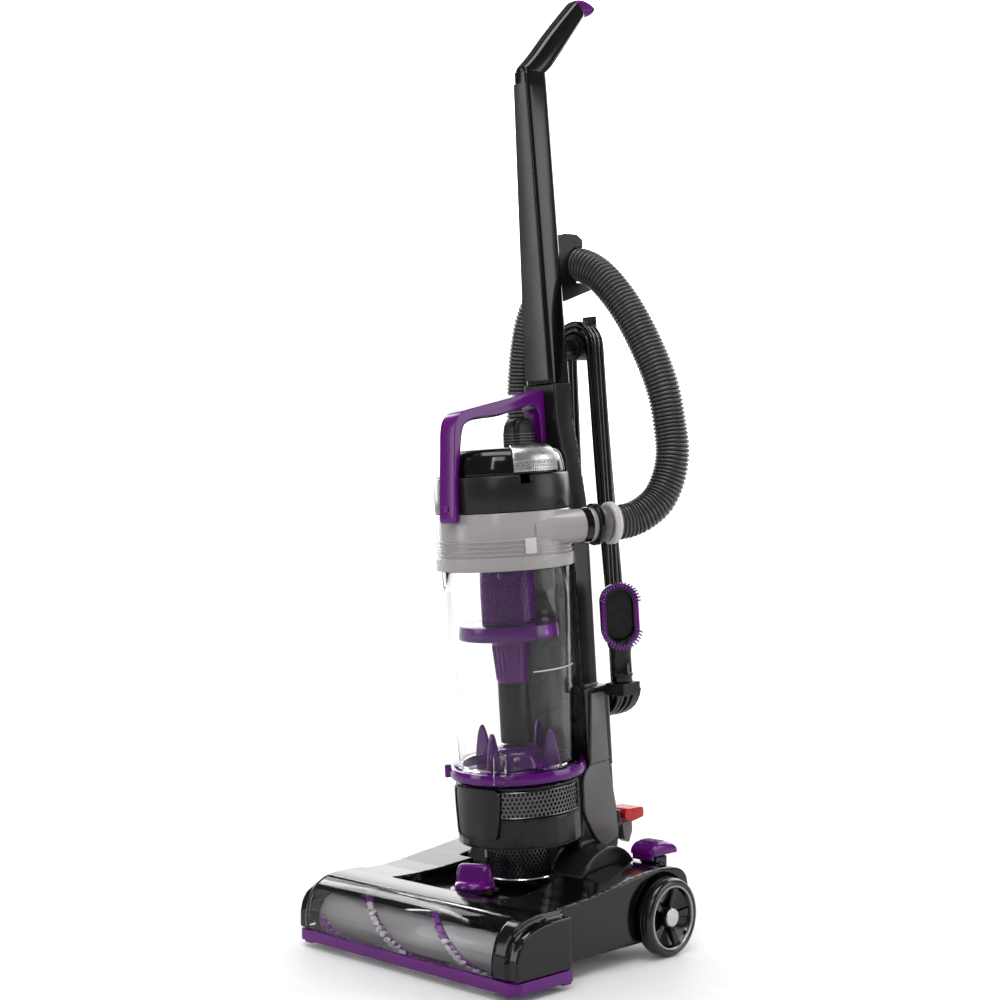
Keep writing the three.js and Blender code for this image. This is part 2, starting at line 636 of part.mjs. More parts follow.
// The hose rests in a C-shaped hook on the back of the handle.
function hoseHook() {
  const outline = new THREE.Shape();
  outline.moveTo(48.4, 738);
  outline.lineTo(60, 738);
  outline.lineTo(107, 752);
  outline.lineTo(108, 758);
  outline.absarc(89, 781, 22, -1.0, 1.25, true);
  outline.lineTo(96, 812);
  outline.lineTo(86, 818);
  outline.lineTo(66, 818);
  outline.lineTo(48.4, 806);
  return across(outline, -9, 9);
}

const HANK = { top: 684, bottom: 278, v0: 78, v1: 106, topRadius: 31.5, bottomRadius: 40, thick: 15 };

function upperCordHook() {
  const stub = barY(9, 48.3, 77, 0, HANK.top, 20);
  const saddle = barY(HANK.topRadius - HANK.thick - 0.7, 76, 108, 0, HANK.top, 24);
  const prong = slab(roundedRectangle(20, 5.5, 2), HANK.top - 14, HANK.top + 37).translate([0, 110, 0]);
  return join(stub, saddle, prong);
}

function lowerCordHook() {
  const saddle = barY(HANK.bottomRadius - HANK.thick - 0.8, SPINE.back + GAP, 108, 0, HANK.bottom, 32);
  const lip = barY(HANK.bottomRadius, 107, 122, 0, HANK.bottom, 32);
  const upper = block([-60, 60], [0, 150], [HANK.bottom - 6, HANK.bottom + 60]);
  return cut(join(saddle, lip), upper);
}

// Outline in (u, w) of the hank: two round ends of different size and the straight runs between them.
function hankOutline(topRadius, bottomRadius) {
  const run = HANK.top - HANK.bottom;
  const tilt = Math.asin((bottomRadius - topRadius) / run);
  const shape = new THREE.Shape();
  shape.absarc(0, HANK.top, topRadius, tilt, Math.PI - tilt);
  shape.absarc(0, HANK.bottom, bottomRadius, Math.PI - tilt, 2 * Math.PI + tilt);
  return shape;
}

function cordHank() {
  const outer = along(hankOutline(HANK.topRadius, HANK.bottomRadius), HANK.v0, HANK.v1);
  const inner = along(hankOutline(HANK.topRadius - HANK.thick, HANK.bottomRadius - HANK.thick),
    HANK.v0 - 1, HANK.v1 + 1);
  return cut(outer, inner);
}

const powerCord = () => cable([
  [-15, 70.3, 172], [-16, 80, 172], [-20, 90, 178], [-28, 95, 194], [-36, 93.5, 214],
  [-39, 92, 234], [-39, 92, 256],
], CORD, 14, 8);

function strainRelief() {
  const geometry = new THREE.CylinderGeometry(4, 7, 27, 20);
  geometry.translate(-15, HOUSING.back + GAP + 13.5, 172);
  return solid(geometry);
}

function plug() {
  const shell = block([-53, -35], [86, 102], [560, 590]);
  const blades = [-48, -42].map((u) => block([u, u + 1.6], [91, 97], [589, 606]));
  return join(shell, ...blades);
}

// Points along the hose's centre line, from the port on the right, over the hook and down the left side.
const HOSE_ROUTE = [
  [94, 24.9, 478], [96.7, 32.4, 478], [102, 46, 480], [109, 60, 486], [117, 78, 500], [122, 92, 524],
  [123.5, 100, 552], [120, 103, 582], [113, 102, 628], [96, 100, 674], [72, 96, 722], [44, 91, 760],
  [17, 89, 779], [-9, 89, 782], [-34, 89, 772],
  [-59, 87, 747], [-82, 85, 702], [-93, 83, 640], [-96, 80, 560], [-95, 76, 470], [-90, 72, 380],
  [-80, 69, 300], [-67, 67, 240], [-60, 66, 200], [-60, 66, 178.5],
];

const hose = () => cable(HOSE_ROUTE, HOSE, 34, 10, HOSE_BORE);

// A frame on the spout's axis: t runs out of the tank along the spout, from abreast of the tank's axis.
function onSpout(made) {
  const out = new THREE.Vector3(Math.cos(SPOUT.turn), Math.sin(SPOUT.turn), 0);
  const side = new THREE.Vector3(out.y, -out.x, 0);
  const matrix = new THREE.Matrix4().makeBasis(side, out.clone().cross(side), out);
  const origin = side.clone().multiplyScalar(SPOUT.offset).add(new THREE.Vector3(0, TANK_V, SPOUT.w));
  matrix.setPosition(origin);
  return made.transform(matrix.elements);
}

function hosePort() {
  const port = onSpout(ring(24, 17, SPOUT.end + GAP, SPOUT.end + 6, 0, 0, 20));
  const bracket = block([SPINE.half + GAP, 66], [8.2, 13.5], [464, 492]);
  const bore = onSpout(disc(17, SPOUT.end - 2, SPOUT.end + 8, 0, 0, 20));
  return cut(join(port, bracket), bore);
}

function hoseCuff() {
  const profile = [
    [16.5, SPOUT.end + 6.3], [20, SPOUT.end + 6.3], [20, SPOUT.end + 20], [23.5, SPOUT.end + 20],
    [23.5, SPOUT.end + 28.7], [16.5, SPOUT.end + 28.7],
  ];
  return onSpout(turned(profile, 0, 0, 20));
}

const TOOL = { u: 79, v: 41, facing: THREE.MathUtils.degToRad(-40) };

function toolHolder() {
  const shelf = block([SPINE.wide + 3.6, 93], [26, 56], [279, 293]);
  const peg = disc(7.5, 292, 316, TOOL.u, TOOL.v, 20);
  return join(shelf, peg);
}

function dustingBrush() {
  const neck = ring(12, 8, 293.4, 338, TOOL.u, TOOL.v, 24);
  const head = slab(roundedRectangle(44, 74, 20), -12, 12);
  const bristlesOut = slab(roundedRectangle(46, 76, 20), 12, 20);
  const bristleRing = cut(bristlesOut, slab(roundedRectangle(34, 60, 14), 0, 30));
  const up = new THREE.Vector3(0, 0, 1);
  const facing = new THREE.Vector3(Math.cos(TOOL.facing), Math.sin(TOOL.facing), 0);
  const matrix = new THREE.Matrix4().makeBasis(up.clone().cross(facing), up, facing);
  matrix.setPosition(TOOL.u, TOOL.v, 371);
  return join(neck, join(head, bristleRing).transform(matrix.elements));
}

part(body, "motor_housing", motorHousing(), DARK_GREY);
part(body, "exhaust_grille", grille(HOUSING.radius, 161, 191, 19, 161), MATT_BLACK);
part(body, "neck_grille", grille(NECK.radius, 87, 121, -3, 183), MATT_BLACK);
part(body, "badge_plate", badgePlate(), BLACK);
part(body, "exhaust_filter", exhaustFilter(), FOAM);
part(body, "side_panel_right", sidePanel(), MID_GREY);
part(body, "side_panel_left", mirrored(sidePanel()), MID_GREY);
part(body, "motor_stator", motorStator(), STEEL);
part(body, "motor_rotor", motorRotor(), STEEL);
part(body, "power_pedal", powerPedal(), RED);
part(body, "spine", spine(), BLACK);
part(body, "handle_tube", handleTube(), BLACK);
part(body, "handle_strip", handleStrip(), MID_GREY);
part(body, "handle_grip", handleGrip(), BLACK);
part(body, "grip_cap", gripCap(), PURPLE);
part(body, "hose_hook", hoseHook(), MATT_BLACK);
part(body, "upper_cord_hook", upperCordHook(), MATT_BLACK);
part(body, "lower_cord_hook", lowerCordHook(), MATT_BLACK);
part(body, "cord_hank", cordHank(), RUBBER);
part(body, "power_cord", powerCord(), RUBBER);
part(body, "strain_relief", strainRelief(), RUBBER);
part(body, "plug", plug(), RUBBER);
part(body, "hose", hose(), DARK_GREY);
part(body, "hose_port", hosePort(), BLACK);
part(body, "hose_cuff", hoseCuff(), DARK_GREY);
part(body, "tool_holder", toolHolder(), MATT_BLACK);
part(body, "dusting_brush", dustingBrush(), BLACK);

// ---------------------------------------------------------------- tank

const aroundTank = (profile, sides) => turned(profile, 0, TANK_V, sides);

function dirtCup() {
  const { low, high, radiusLow, radiusHigh, wall } = CUP;
  return aroundTank([
    [radiusLow - wall, low], [radiusLow + 5, low], [radiusLow + 5, low + 2], [radiusLow, low + 5],
    [radiusHigh, high], [radiusHigh - wall, high],
  ], 32);
}

function cupDoor() {
  const pan = aroundTank([
    [0, DOOR.low], [DOOR.radius, DOOR.low], [DOOR.radius, DOOR.high], [DOOR.radius - 6, DOOR.high],
    [DOOR.radius - 6, 204], [34, 204], [30, 222], [20, 231], [0, 232],
  ], 32);
  const fins = [25, 205].map((turn) => {
    const fin = across([[36, 203], [58, 203], [56, 225], [50, 250], [44, 250], [38, 225]], -3, 3);
    return fin.rotate([0, 0, turn]).translate([0, TANK_V, 0]);
  });
  const tab = block([76, 84], [-6, 6], [198, 214]).rotate([0, 0, -135]).translate([0, TANK_V, 0]);
  return join(pan, ...fins, tab);
}

function doorLatch() {
  const side = [[-83.5, 200], [-78, 200], [-78, 211], [-74.5, 216], [-74, 236], [-77, 236], [-83.5, 212]];
  const lever = across(side, -7, 7);
  return lever.rotate([0, 0, 30]).translate([0, TANK_V, 0]);
}

function inletCollar() {
  const { band, top, radius, bandRadius, inner } = COLLAR;
  const wall = aroundTank([
    [inner, 435], [bandRadius, 435], [bandRadius, band], [radius, band + 2], [radius, top],
    [33, top], [33, top - 3], [inner, top - 3],
  ], 32);
  const spout = onSpout(disc(SPOUT.radius, 8, SPOUT.end, 0, 0, 20));
  const bore = onSpout(disc(SPOUT.bore, 0, SPOUT.end + 1, 0, 0, 20));
  const inside = disc(inner, 436, top - 3, 0, TANK_V, 32);
  return cut(join(wall, cut(spout, inside)), bore);
}

function lidRing() {
  const band = ring(LID.radius, LID.inner, LID.low, LID.high, 0, TANK_V, 32);
  const notch = cut(disc(100, 530, 560, 0, TANK_V, 32), wedge(105, 345, 120, 500, 570));
  return cut(band, notch);
}

function lidCap() {
  const shell = aroundTank([
    [0, 571.5], [60, 570], [69, 566], [74, 540.3], [66, 540.3], [63, 562], [0, 567],
  ], 32);
  return cut(shell, block([-14.4, 14.4], [-42.4, -7.6], [555, 580]));
}

function carryHandle() {
  const outline = [
    [-146.5, 492], [-138, 592], [-134, 604], [-126, 611], [-112, 616], [2, 634], [8, 632],
    [9.4, 626], [9.4, 573], [0.5, 573], [-1, 608], [-8, 616], [-24, 617], [-65, 607],
    [-97, 605.5], [-113, 603], [-123, 596], [-127, 586], [-131.5, 562], [-136, 542], [-137.3, 492],
  ];
  return across(outline, -12, 12);
}

function releaseButton() {
  const pillar = block([-14, 14], [-42, -8], [557, 602]);
  return cut(pillar, block([-10, 10], [-38, -12], [550, 590]));
}

const cycloneScreen = () => ring(31, 28.5, 371.3, 495.6, 0, TANK_V, 24);

const cycloneCone = () => aroundTank([
  [14, 303.3], [17.5, 303.3], [21, 346], [26, 357], [57, 355], [58.5, 358], [56, 371], [26, 371], [17, 350],
], 32);

const outletTube = () => ring(17.5, 14, 234, 303, 0, TANK_V, 32);

const cupFilter = () => disc(62, 499.4, 530, 0, TANK_V, 24);

part(body, "dirt_cup", dirtCup(), CLEAR);
part(body, "cup_door", cupDoor(), PURPLE);
part(body, "door_latch", doorLatch(), CLEAR);
part(body, "inlet_collar", inletCollar(), SMOKE);
part(body, "lid_ring", lidRing(), BLACK);
part(body, "lid_cap", lidCap(), BLACK);
part(body, "carry_handle", carryHandle(), PURPLE);
part(body, "release_button", releaseButton(), MATT_BLACK);
part(body, "cyclone_screen", cycloneScreen(), PURPLE);
part(body, "cyclone_cone", cycloneCone(), PURPLE);
part(body, "outlet_tube", outletTube(), MATT_BLACK);
part(body, "cup_filter", cupFilter(), FOAM);

export default vacuum;
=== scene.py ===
# Upright vacuum cleaner: the finished pieces and materials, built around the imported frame.
# Shapes are drawn in millimetres, in the foot's frame or in the leaning body's frame (u, v, w).

import json
import math
import random

import bmesh
import bpy
from mathutils import Matrix, Vector

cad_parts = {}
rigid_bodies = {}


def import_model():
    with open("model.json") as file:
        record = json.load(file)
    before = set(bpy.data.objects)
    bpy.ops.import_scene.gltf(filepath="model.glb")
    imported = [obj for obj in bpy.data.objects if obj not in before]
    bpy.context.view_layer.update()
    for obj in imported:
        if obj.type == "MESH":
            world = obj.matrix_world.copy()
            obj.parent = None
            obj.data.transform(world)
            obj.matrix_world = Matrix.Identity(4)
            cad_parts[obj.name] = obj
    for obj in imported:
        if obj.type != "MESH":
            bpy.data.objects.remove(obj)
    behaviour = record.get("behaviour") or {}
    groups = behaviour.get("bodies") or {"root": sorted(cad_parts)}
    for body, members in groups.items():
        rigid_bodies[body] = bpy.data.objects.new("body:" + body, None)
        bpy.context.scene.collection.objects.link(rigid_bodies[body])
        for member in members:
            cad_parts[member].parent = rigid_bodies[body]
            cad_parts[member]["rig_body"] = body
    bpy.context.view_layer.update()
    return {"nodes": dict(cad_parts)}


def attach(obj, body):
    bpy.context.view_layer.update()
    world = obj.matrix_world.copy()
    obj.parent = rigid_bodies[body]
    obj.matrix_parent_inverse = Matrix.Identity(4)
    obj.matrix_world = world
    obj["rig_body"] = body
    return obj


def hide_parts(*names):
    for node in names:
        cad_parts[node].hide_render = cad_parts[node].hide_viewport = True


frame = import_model()
NODES = frame["nodes"]

# ---------------------------------------------------------------- frames and driving sizes

MM = 0.001
LEAN = math.radians(4.8)
AXLE_FROM_CENTRE = 77.7
FOOT = Matrix.Translation((0, AXLE_FROM_CENTRE * MM, 0)) @ Matrix.Scale(MM, 4)
BODY = Matrix.Translation((0, AXLE_FROM_CENTRE * MM, 0)) @ Matrix.Rotation(LEAN, 4, "X") @ Matrix.Scale(MM, 4)
TANK_V = -58
TANK = (0, TANK_V)
WHEEL = {"radius": 42.7, "inner": 146, "outer": 167}
BRUSH = {"y": -218, "z": 32, "drum": 22, "left": -150, "right": 124}
CUP = {"low": 211.4, "high": 434.6, "radius_low": 66.5, "radius_high": 73.5, "wall": 2.5}
SPOUT = {"offset": 60, "end": 81, "radius": 19, "bore": 16.5, "w": 478, "turn": math.radians(70)}
SPOUT_OUT = Vector((math.cos(SPOUT["turn"]), math.sin(SPOUT["turn"]), 0))
SPOUT_SIDE = Vector((SPOUT_OUT.y, -SPOUT_OUT.x, 0))
CORD_D = 7
HOSE_D = 40

# ---------------------------------------------------------------- node helpers for materials


class Shader:
    """A principled material and short ways to add the nodes that drive it."""

    def __init__(self, name):
        self.material = bpy.data.materials.new(name)
        self.material.use_nodes = True
        self.tree = self.material.node_tree
        self.main = self.tree.nodes["Principled BSDF"]
        self.place = self.add("ShaderNodeTexCoord").outputs["Object"]

    def add(self, kind, **values):
        node = self.tree.nodes.new(kind)
        for key, value in values.items():
            setattr(node, key, value)
        return node

    def link(self, source, target):
        self.tree.links.new(source, target)

    def noise(self, scale, detail=3.0, stretch=(1, 1, 1)):
        node = self.add("ShaderNodeTexNoise")
        node.inputs["Scale"].default_value = scale
        node.inputs["Detail"].default_value = detail
        mapping = self.add("ShaderNodeMapping")
        mapping.inputs["Scale"].default_value = stretch
        self.link(self.place, mapping.inputs["Vector"])
        self.link(mapping.outputs["Vector"], node.inputs["Vector"])
        return node.outputs["Fac"]

    def ramp(self, value, low, high, from_low=0.35, from_high=0.65):
        """A number in from_low..from_high turned into low..high."""
        node = self.add("ShaderNodeMapRange")
        self.link(value, node.inputs["Value"])
        node.inputs["From Min"].default_value = from_low
        node.inputs["From Max"].default_value = from_high
        node.inputs["To Min"].default_value = low
        node.inputs["To Max"].default_value = high
        return node.outputs["Result"]

    def maths(self, operation, a, b):
        node = self.add("ShaderNodeMath", operation=operation)
        for socket, value in zip(node.inputs, (a, b)):
            if isinstance(value, (int, float)):
                socket.default_value = value
            else:
                self.link(value, socket)
        return node.outputs["Value"]

    def mixed(self, factor, first, second):
        node = self.add("ShaderNodeMix", data_type="RGBA")
        self.link(factor, node.inputs["Factor"])
        for socket, value in ((node.inputs["A"], first), (node.inputs["B"], second)):
            if isinstance(value, tuple):
                socket.default_value = (*value, 1)
            else:
                self.link(value, socket)
        return node.outputs["Result"]

    def bump(self, *layers):
        """Layers of (height, distance in metres), one on top of the other."""
        normal = None
        for height, distance in layers:
            node = self.add("ShaderNodeBump")
            node.inputs["Distance"].default_value = distance
            self.link(height, node.inputs["Height"])
            if normal is not None:
                self.link(normal, node.inputs["Normal"])
            normal = node.outputs["Normal"]
        self.link(normal, self.main.inputs["Normal"])

    def set(self, **values):
        for key, value in values.items():
            self.main.inputs[key.replace("_", " ")].default_value = value


def shade(colour, factor):
    return tuple(min(1.0, c * factor) for c in colour)


def moulded(name, colour, roughness, grain=0.00002, wear=0.0, specular=0.5):
    """Injection-moulded plastic: faint flow in the colour, handling marks in the gloss, and a fine grain."""
    s = Shader(name)
    flow = s.ramp(s.noise(9, 4), 0, 1, 0.2, 0.8)
    scuffs = s.ramp(s.noise(60, 6, (1, 1, 0.12)), 0, 1, 0.6, 0.85)
    smears = s.ramp(s.noise(22, 5), -0.2, 0.3, 0.2, 0.8)
    colour_field = s.mixed(flow, shade(colour, 0.88), shade(colour, 1.12))
    if wear:
        edges = s.add("ShaderNodeNewGeometry").outputs["Pointiness"]
        worn = s.maths("MULTIPLY", s.ramp(edges, 0, wear, 0.52, 0.6), s.ramp(s.noise(120, 4), 0.2, 1))
        colour_field = s.mixed(worn, colour_field, tuple(min(1, c * 1.6 + 0.06) for c in colour))
    s.link(colour_field, s.main.inputs["Base Color"])
    base = s.maths("MULTIPLY", smears, roughness)
    rough = s.maths("ADD", s.maths("ADD", base, roughness), s.maths("MULTIPLY", scuffs, 0.08))
    s.link(rough, s.main.inputs["Roughness"])
    s.bump((s.noise(1400, 2), grain), (s.noise(35, 3), 0.00006), (scuffs, 0.00001))
    s.set(Specular_IOR_Level=specular, IOR=1.5)
    return s.material


def see_through(name, colour, roughness, clarity=1.0, grain=0.00002, ior=1.46):
    """Clear or tinted plastic, with fine scratches round it, faint haze, and a painted shade that darkens its
    colour towards the rims.
    """
    s = Shader(name)
    haze = s.ramp(s.noise(14, 5), roughness * 0.6, roughness * 1.7)
    hairs = s.ramp(s.noise(90, 6, (0.1, 0.1, 1)), 0, 1, 0.66, 0.72)
    s.link(s.maths("ADD", haze, s.maths("MULTIPLY", hairs, 0.05)), s.main.inputs["Roughness"])
    tint = s.mixed(s.ramp(s.noise(6, 2), 0, 1), shade(colour, 0.97), shade(colour, 1.03))
    # Painted shade: towards grazing angles the colour is mixed up to three quarters of the way to 0.45 of
    # itself, so the rims of clear parts read grey.
    edge = s.add("ShaderNodeLayerWeight").outputs["Facing"]
    s.link(s.mixed(s.ramp(edge, 0, 0.75, 0.55, 1), tint, shade(colour, 0.45)), s.main.inputs["Base Color"])
    s.bump((s.noise(700, 2), grain), (s.noise(20, 2), 0.00008))
    s.set(Transmission_Weight=clarity, IOR=ior)
    return s.material


def metal(name, colour, roughness, brushed=(1, 1, 1)):
    s = Shader(name)
    lines = s.noise(500, 5, brushed)
    s.link(s.mixed(s.ramp(lines, 0, 1), shade(colour, 0.85), shade(colour, 1.1)), s.main.inputs["Base Color"])
    s.link(s.ramp(s.noise(40, 4), roughness * 0.7, roughness * 1.5), s.main.inputs["Roughness"])
    s.bump((lines, 0.00003))
    s.set(Metallic=1.0)
    return s.material


def rubber(name, colour, roughness, grain=0.00006):
    s = Shader(name)
    dust = s.ramp(s.noise(30, 6), 0, 0.5, 0.5, 0.8)
    s.link(s.mixed(dust, colour, tuple(c * 1.3 + 0.012 for c in colour)), s.main.inputs["Base Color"])
    s.link(s.ramp(s.noise(25, 4), roughness * 0.8, roughness * 1.25), s.main.inputs["Roughness"])
    s.bump((s.noise(900, 4), grain), (s.noise(60, 3), 0.0001))
    s.set(IOR=1.5)
    return s.material


def fibrous(name, colour, roughness=0.7):
    """Tufts of nylon bristle: fine lines out from the strip, each a little lighter or darker."""
    s = Shader(name)
    strands = s.noise(1500, 2, (1, 0.2, 0.2))
    s.link(s.mixed(s.ramp(strands, 0, 1), shade(colour, 0.5), shade(colour, 1.5)),
           s.main.inputs["Base Color"])
    s.link(s.ramp(s.noise(200, 3), roughness * 0.8, roughness * 1.2), s.main.inputs["Roughness"])
    s.bump((strands, 0.0003))
    s.set(Sheen_Weight=0.3, Sheen_Roughness=0.4)
    return s.material


def foam(name, colour):
    s = Shader(name)
    cells = s.add("ShaderNodeTexVoronoi")
    cells.inputs["Scale"].default_value = 700
    s.link(s.place, cells.inputs["Vector"])
    s.link(s.mixed(cells.outputs["Distance"], shade(colour, 1.4), shade(colour, 0.4)),
           s.main.inputs["Base Color"])
    s.bump((cells.outputs["Distance"], 0.0006))
    s.set(Roughness=0.95)
    return s.material


BLACK = (0.0022, 0.0022, 0.0026)
GREY = (0.0115, 0.0102, 0.0108)
PURPLE_DEEP = (0.098, 0.0022, 0.142)
LOOKS = {
    "gloss_black": moulded("gloss_black", BLACK, 0.1, 0.000005, specular=0.34),
    "satin_grey": moulded("satin_grey", GREY, 0.27, 0.00002, wear=0.2, specular=0.3),
    "matt_black": moulded("matt_black", (0.006, 0.006, 0.0065), 0.38, 0.00004, wear=0.2, specular=0.25),
    "light_grey": moulded("light_grey", (0.105, 0.096, 0.098), 0.3, 0.00002, wear=0.2, specular=0.35),
    "strip_grey": moulded("strip_grey", (0.026, 0.0255, 0.028), 0.26, 0.00002, specular=0.4),
    "pale_grey": moulded("pale_grey", (0.58, 0.56, 0.58), 0.28, 0.00002),
    "purple": moulded("purple", PURPLE_DEEP, 0.15, 0.000006, specular=0.32),
    "red": moulded("red", (0.42, 0.004, 0.005), 0.24, 0.00002, specular=0.35),
    "purple_clear": see_through("purple_clear", (0.13, 0.004, 0.23), 0.08, 0.42),
    "drum_grey": moulded("drum_grey", (0.3, 0.29, 0.3), 0.2, 0.00001),
    "purple_mesh": moulded("purple_mesh", (0.12, 0.004, 0.2), 0.2, 0.00001),
    "clear": see_through("clear", (0.95, 0.948, 0.95), 0.012, grain=0.000003, ior=1.25),
    "smoke": see_through("smoke", (0.47, 0.44, 0.435), 0.2, 0.3),
    "steel": metal("steel", (0.5, 0.5, 0.51), 0.3, (0.05, 1, 1)),
    "silver_plastic": metal("silver_plastic", (0.66, 0.66, 0.68), 0.2),
    "rim_metal": metal("rim_metal", (0.36, 0.36, 0.37), 0.3),
    "dark_metal": metal("dark_metal", (0.16, 0.16, 0.165), 0.26),
    "tyre_rubber": rubber("tyre_rubber", (0.0035, 0.0035, 0.0037), 0.2, 0.00002),
    "cord_rubber": rubber("cord_rubber", (0.0035, 0.0035, 0.0037), 0.17, 0.00001),
    "hose_rubber": rubber("hose_rubber", (0.045, 0.045, 0.046), 0.2, 0.00001),
    "belt_rubber": rubber("belt_rubber", (0.008, 0.008, 0.008), 0.7),
    "bristle": fibrous("bristle", (0.16, 0.012, 0.27)),
    "pale_bristle": fibrous("pale_bristle", (0.55, 0.52, 0.58)),
    "foam": foam("foam", (0.04, 0.04, 0.045)),
}

# ---------------------------------------------------------------- shapes, as lists of points and faces


def smooth(points, steps=6, closed=False):
    """A Catmull-Rom curve through points of any number of dimensions."""
    made = []
    count = len(points)
    spans = count if closed else count - 1
    for i in range(spans):
        picks = [i - 1, i, i + 1, i + 2]
        if closed:
            p = [Vector(points[k % count]) for k in picks]
        else:
            p = [Vector(points[min(max(k, 0), count - 1)]) for k in picks]
        for j in range(steps):
            t = j / steps
            a = 2 * p[1] + (p[2] - p[0]) * t
            b = (2 * p[0] - 5 * p[1] + 4 * p[2] - p[3]) * t * t
            c = (3 * p[1] - p[0] - 3 * p[2] + p[3]) * t * t * t
            made.append((a + b + c) / 2)
    if not closed:
        made.append(Vector(points[-1]))
    return made


def rounded(outline, radius, steps=4):
    """A 2-D outline with each corner replaced by a round of at most radius."""
    made = []
    count = len(outline)
    for i in range(count):
        before, corner, after = (Vector(outline[(i + k) % count]) for k in (-1, 0, 1))
        reach = min(radius, (before - corner).length / 2.2, (after - corner).length / 2.2)
        start = corner + (before - corner).normalized() * reach
        end = corner + (after - corner).normalized() * reach
        for j in range(steps + 1):
            t = j / steps
            made.append(start * (1 - t) ** 2 + corner * 2 * t * (1 - t) + end * t * t)
    return made


def superellipse(half_a, half_b, power, count):
    """Points round a rounded rectangle that gets squarer as power grows."""
    made = []
    for i in range(count):
        angle = 2 * math.pi * i / count
        c, s = math.cos(angle), math.sin(angle)
        a = half_a * math.copysign(abs(c) ** (2 / power), c)
        b = half_b * math.copysign(abs(s) ** (2 / power), s)
        made.append(Vector((a, b)))
    return made


def loft(rings, closed=False):
    """Rings of equally many points, skinned, with both ends capped unless the rings close on themselves."""
    size = len(rings[0])
    verts = [tuple(p) for ring in rings for p in ring]
    faces = []
    last = len(rings) if closed else len(rings) - 1
    for i in range(last):
        a, b = i * size, ((i + 1) % len(rings)) * size
        for j in range(size):
            k = (j + 1) % size
            faces.append((a + j, a + k, b + k, b + j))
    if not closed:
        faces.append(tuple(reversed(range(size))))
        faces.append(tuple(range((len(rings) - 1) * size, len(rings) * size)))
    return verts, faces


def turned(profile, centre=TANK, sides=96):
    """A closed profile of (radius, height) turned about a vertical line, its points kept just off the line."""
    rings = []
    for i in range(sides):
        angle = 2 * math.pi * i / sides
        c, s = math.cos(angle), math.sin(angle)
        rings.append([(centre[0] + max(r, 0.02) * c, centre[1] + max(r, 0.02) * s, z) for r, z in profile])
    return loft(rings, closed=True)


def across(outline, x0, x1):
    """A (y, z) outline from x0 to x1."""
    return loft([[(x0, p[0], p[1]) for p in outline], [(x1, p[0], p[1]) for p in outline]])


def along(outline, y0, y1):
    """An (x, z) outline from y0 back to y1."""
    return loft([[(p[0], y0, p[1]) for p in outline], [(p[0], y1, p[1]) for p in outline]])


def slab(outline, z0, z1):
    """An (x, y) outline from z0 up to z1."""
    return loft([[(p[0], p[1], z0) for p in outline], [(p[0], p[1], z1) for p in outline]])


def block(x, y, z):
    return slab([(x[0], y[0]), (x[1], y[0]), (x[1], y[1]), (x[0], y[1])], z[0], z[1])


def swept(path, section, up=Vector((0, 0, 1)), scale=None):
    """A closed 2-D section carried along a path without twisting. scale(i) gives each ring's size."""
    rings = []
    side = None
    for i, point in enumerate(path):
        ahead = path[min(i + 1, len(path) - 1)] - path[max(i - 1, 0)]
        ahead.normalize()
        if side is None:
            side = ahead.cross(up).normalized()
        side = (side - ahead * side.dot(ahead)).normalized()
        over = side.cross(ahead)
        size = scale(i) if scale else 1
        rings.append([point + side * p[0] * size + over * p[1] * size for p in section])
    return loft(rings)


def circle(radius, sides):
    return [(radius * math.cos(2 * math.pi * i / sides), radius * math.sin(2 * math.pi * i / sides))
            for i in range(sides)]


def moved(shape, matrix):
    return [tuple(matrix @ Vector(v)) for v in shape[0]], shape[1]


def mirrored(shape):
    return [(-x, y, z) for x, y, z in shape[0]], [tuple(reversed(f)) for f in shape[1]]


def spin(shape, degrees, centre=TANK):
    """A shape turned about the upright line through centre."""
    to = Matrix.Translation((centre[0], centre[1], 0))
    return moved(shape, to @ Matrix.Rotation(math.radians(degrees), 4, "Z") @ to.inverted())


def at_tank(shape, degrees=0):
    """A shape drawn about the upright line through (0, 0), carried to the tank's axis and turned about it."""
    return spin(moved(shape, Matrix.Translation((0, TANK_V, 0))), degrees)


def on_x(shape, y=0, z=WHEEL["radius"]):
    """A shape turned about the upright line through (0, 0), laid over so that the line runs along +X."""
    return moved(shape, Matrix.Translation((0, y, z)) @ Matrix.Rotation(math.pi / 2, 4, "Y"))


def on_spout(shape):
    """A shape about the upright line through (0, 0) carried to the spout's axis."""
    rows = Matrix((SPOUT_SIDE, SPOUT_OUT.cross(SPOUT_SIDE), SPOUT_OUT)).transposed().to_4x4()
    origin = SPOUT_SIDE * SPOUT["offset"] + Vector((0, TANK_V, SPOUT["w"]))
    return moved(shape, Matrix.Translation(origin) @ rows)


# ---------------------------------------------------------------- pieces


def mesh_object(name, shapes, place):
    """One object of one or more closed shapes, in metres, with its faces out."""
    mesh = bpy.data.meshes.new(name)
    verts, faces = [], []
    for shape_verts, shape_faces in shapes:
        start = len(verts)
        verts += [tuple(place @ Vector(v)) for v in shape_verts]
        faces += [tuple(start + i for i in face) for face in shape_faces]
    mesh.from_pydata(verts, [], faces)
    work = bmesh.new()
    work.from_mesh(mesh)
    bmesh.ops.remove_doubles(work, verts=work.verts, dist=1e-6)
    bmesh.ops.recalc_face_normals(work, faces=work.faces)
    work.to_mesh(mesh)
    work.free()
    made = bpy.data.objects.new(name, mesh)
    bpy.context.scene.collection.objects.link(made)
    return made


def apply(made, kind, **values):
    """Adds one modifier, sets it and applies it."""
    modifier = made.modifiers.new(kind.lower(), kind)
    for key, value in values.items():
        setattr(modifier, key, value)
    graph = bpy.context.evaluated_depsgraph_get()
    fresh = bpy.data.meshes.new_from_object(made.evaluated_get(graph))
    made.modifiers.clear()
    made.data = fresh
    return made


def carve(made, *shapes, place=BODY):
    for shape in shapes:
        tool = mesh_object("tool", [shape], place)
        apply(made, "BOOLEAN", operation="DIFFERENCE", object=tool, solver="EXACT")
        bpy.data.objects.remove(tool)
    return made


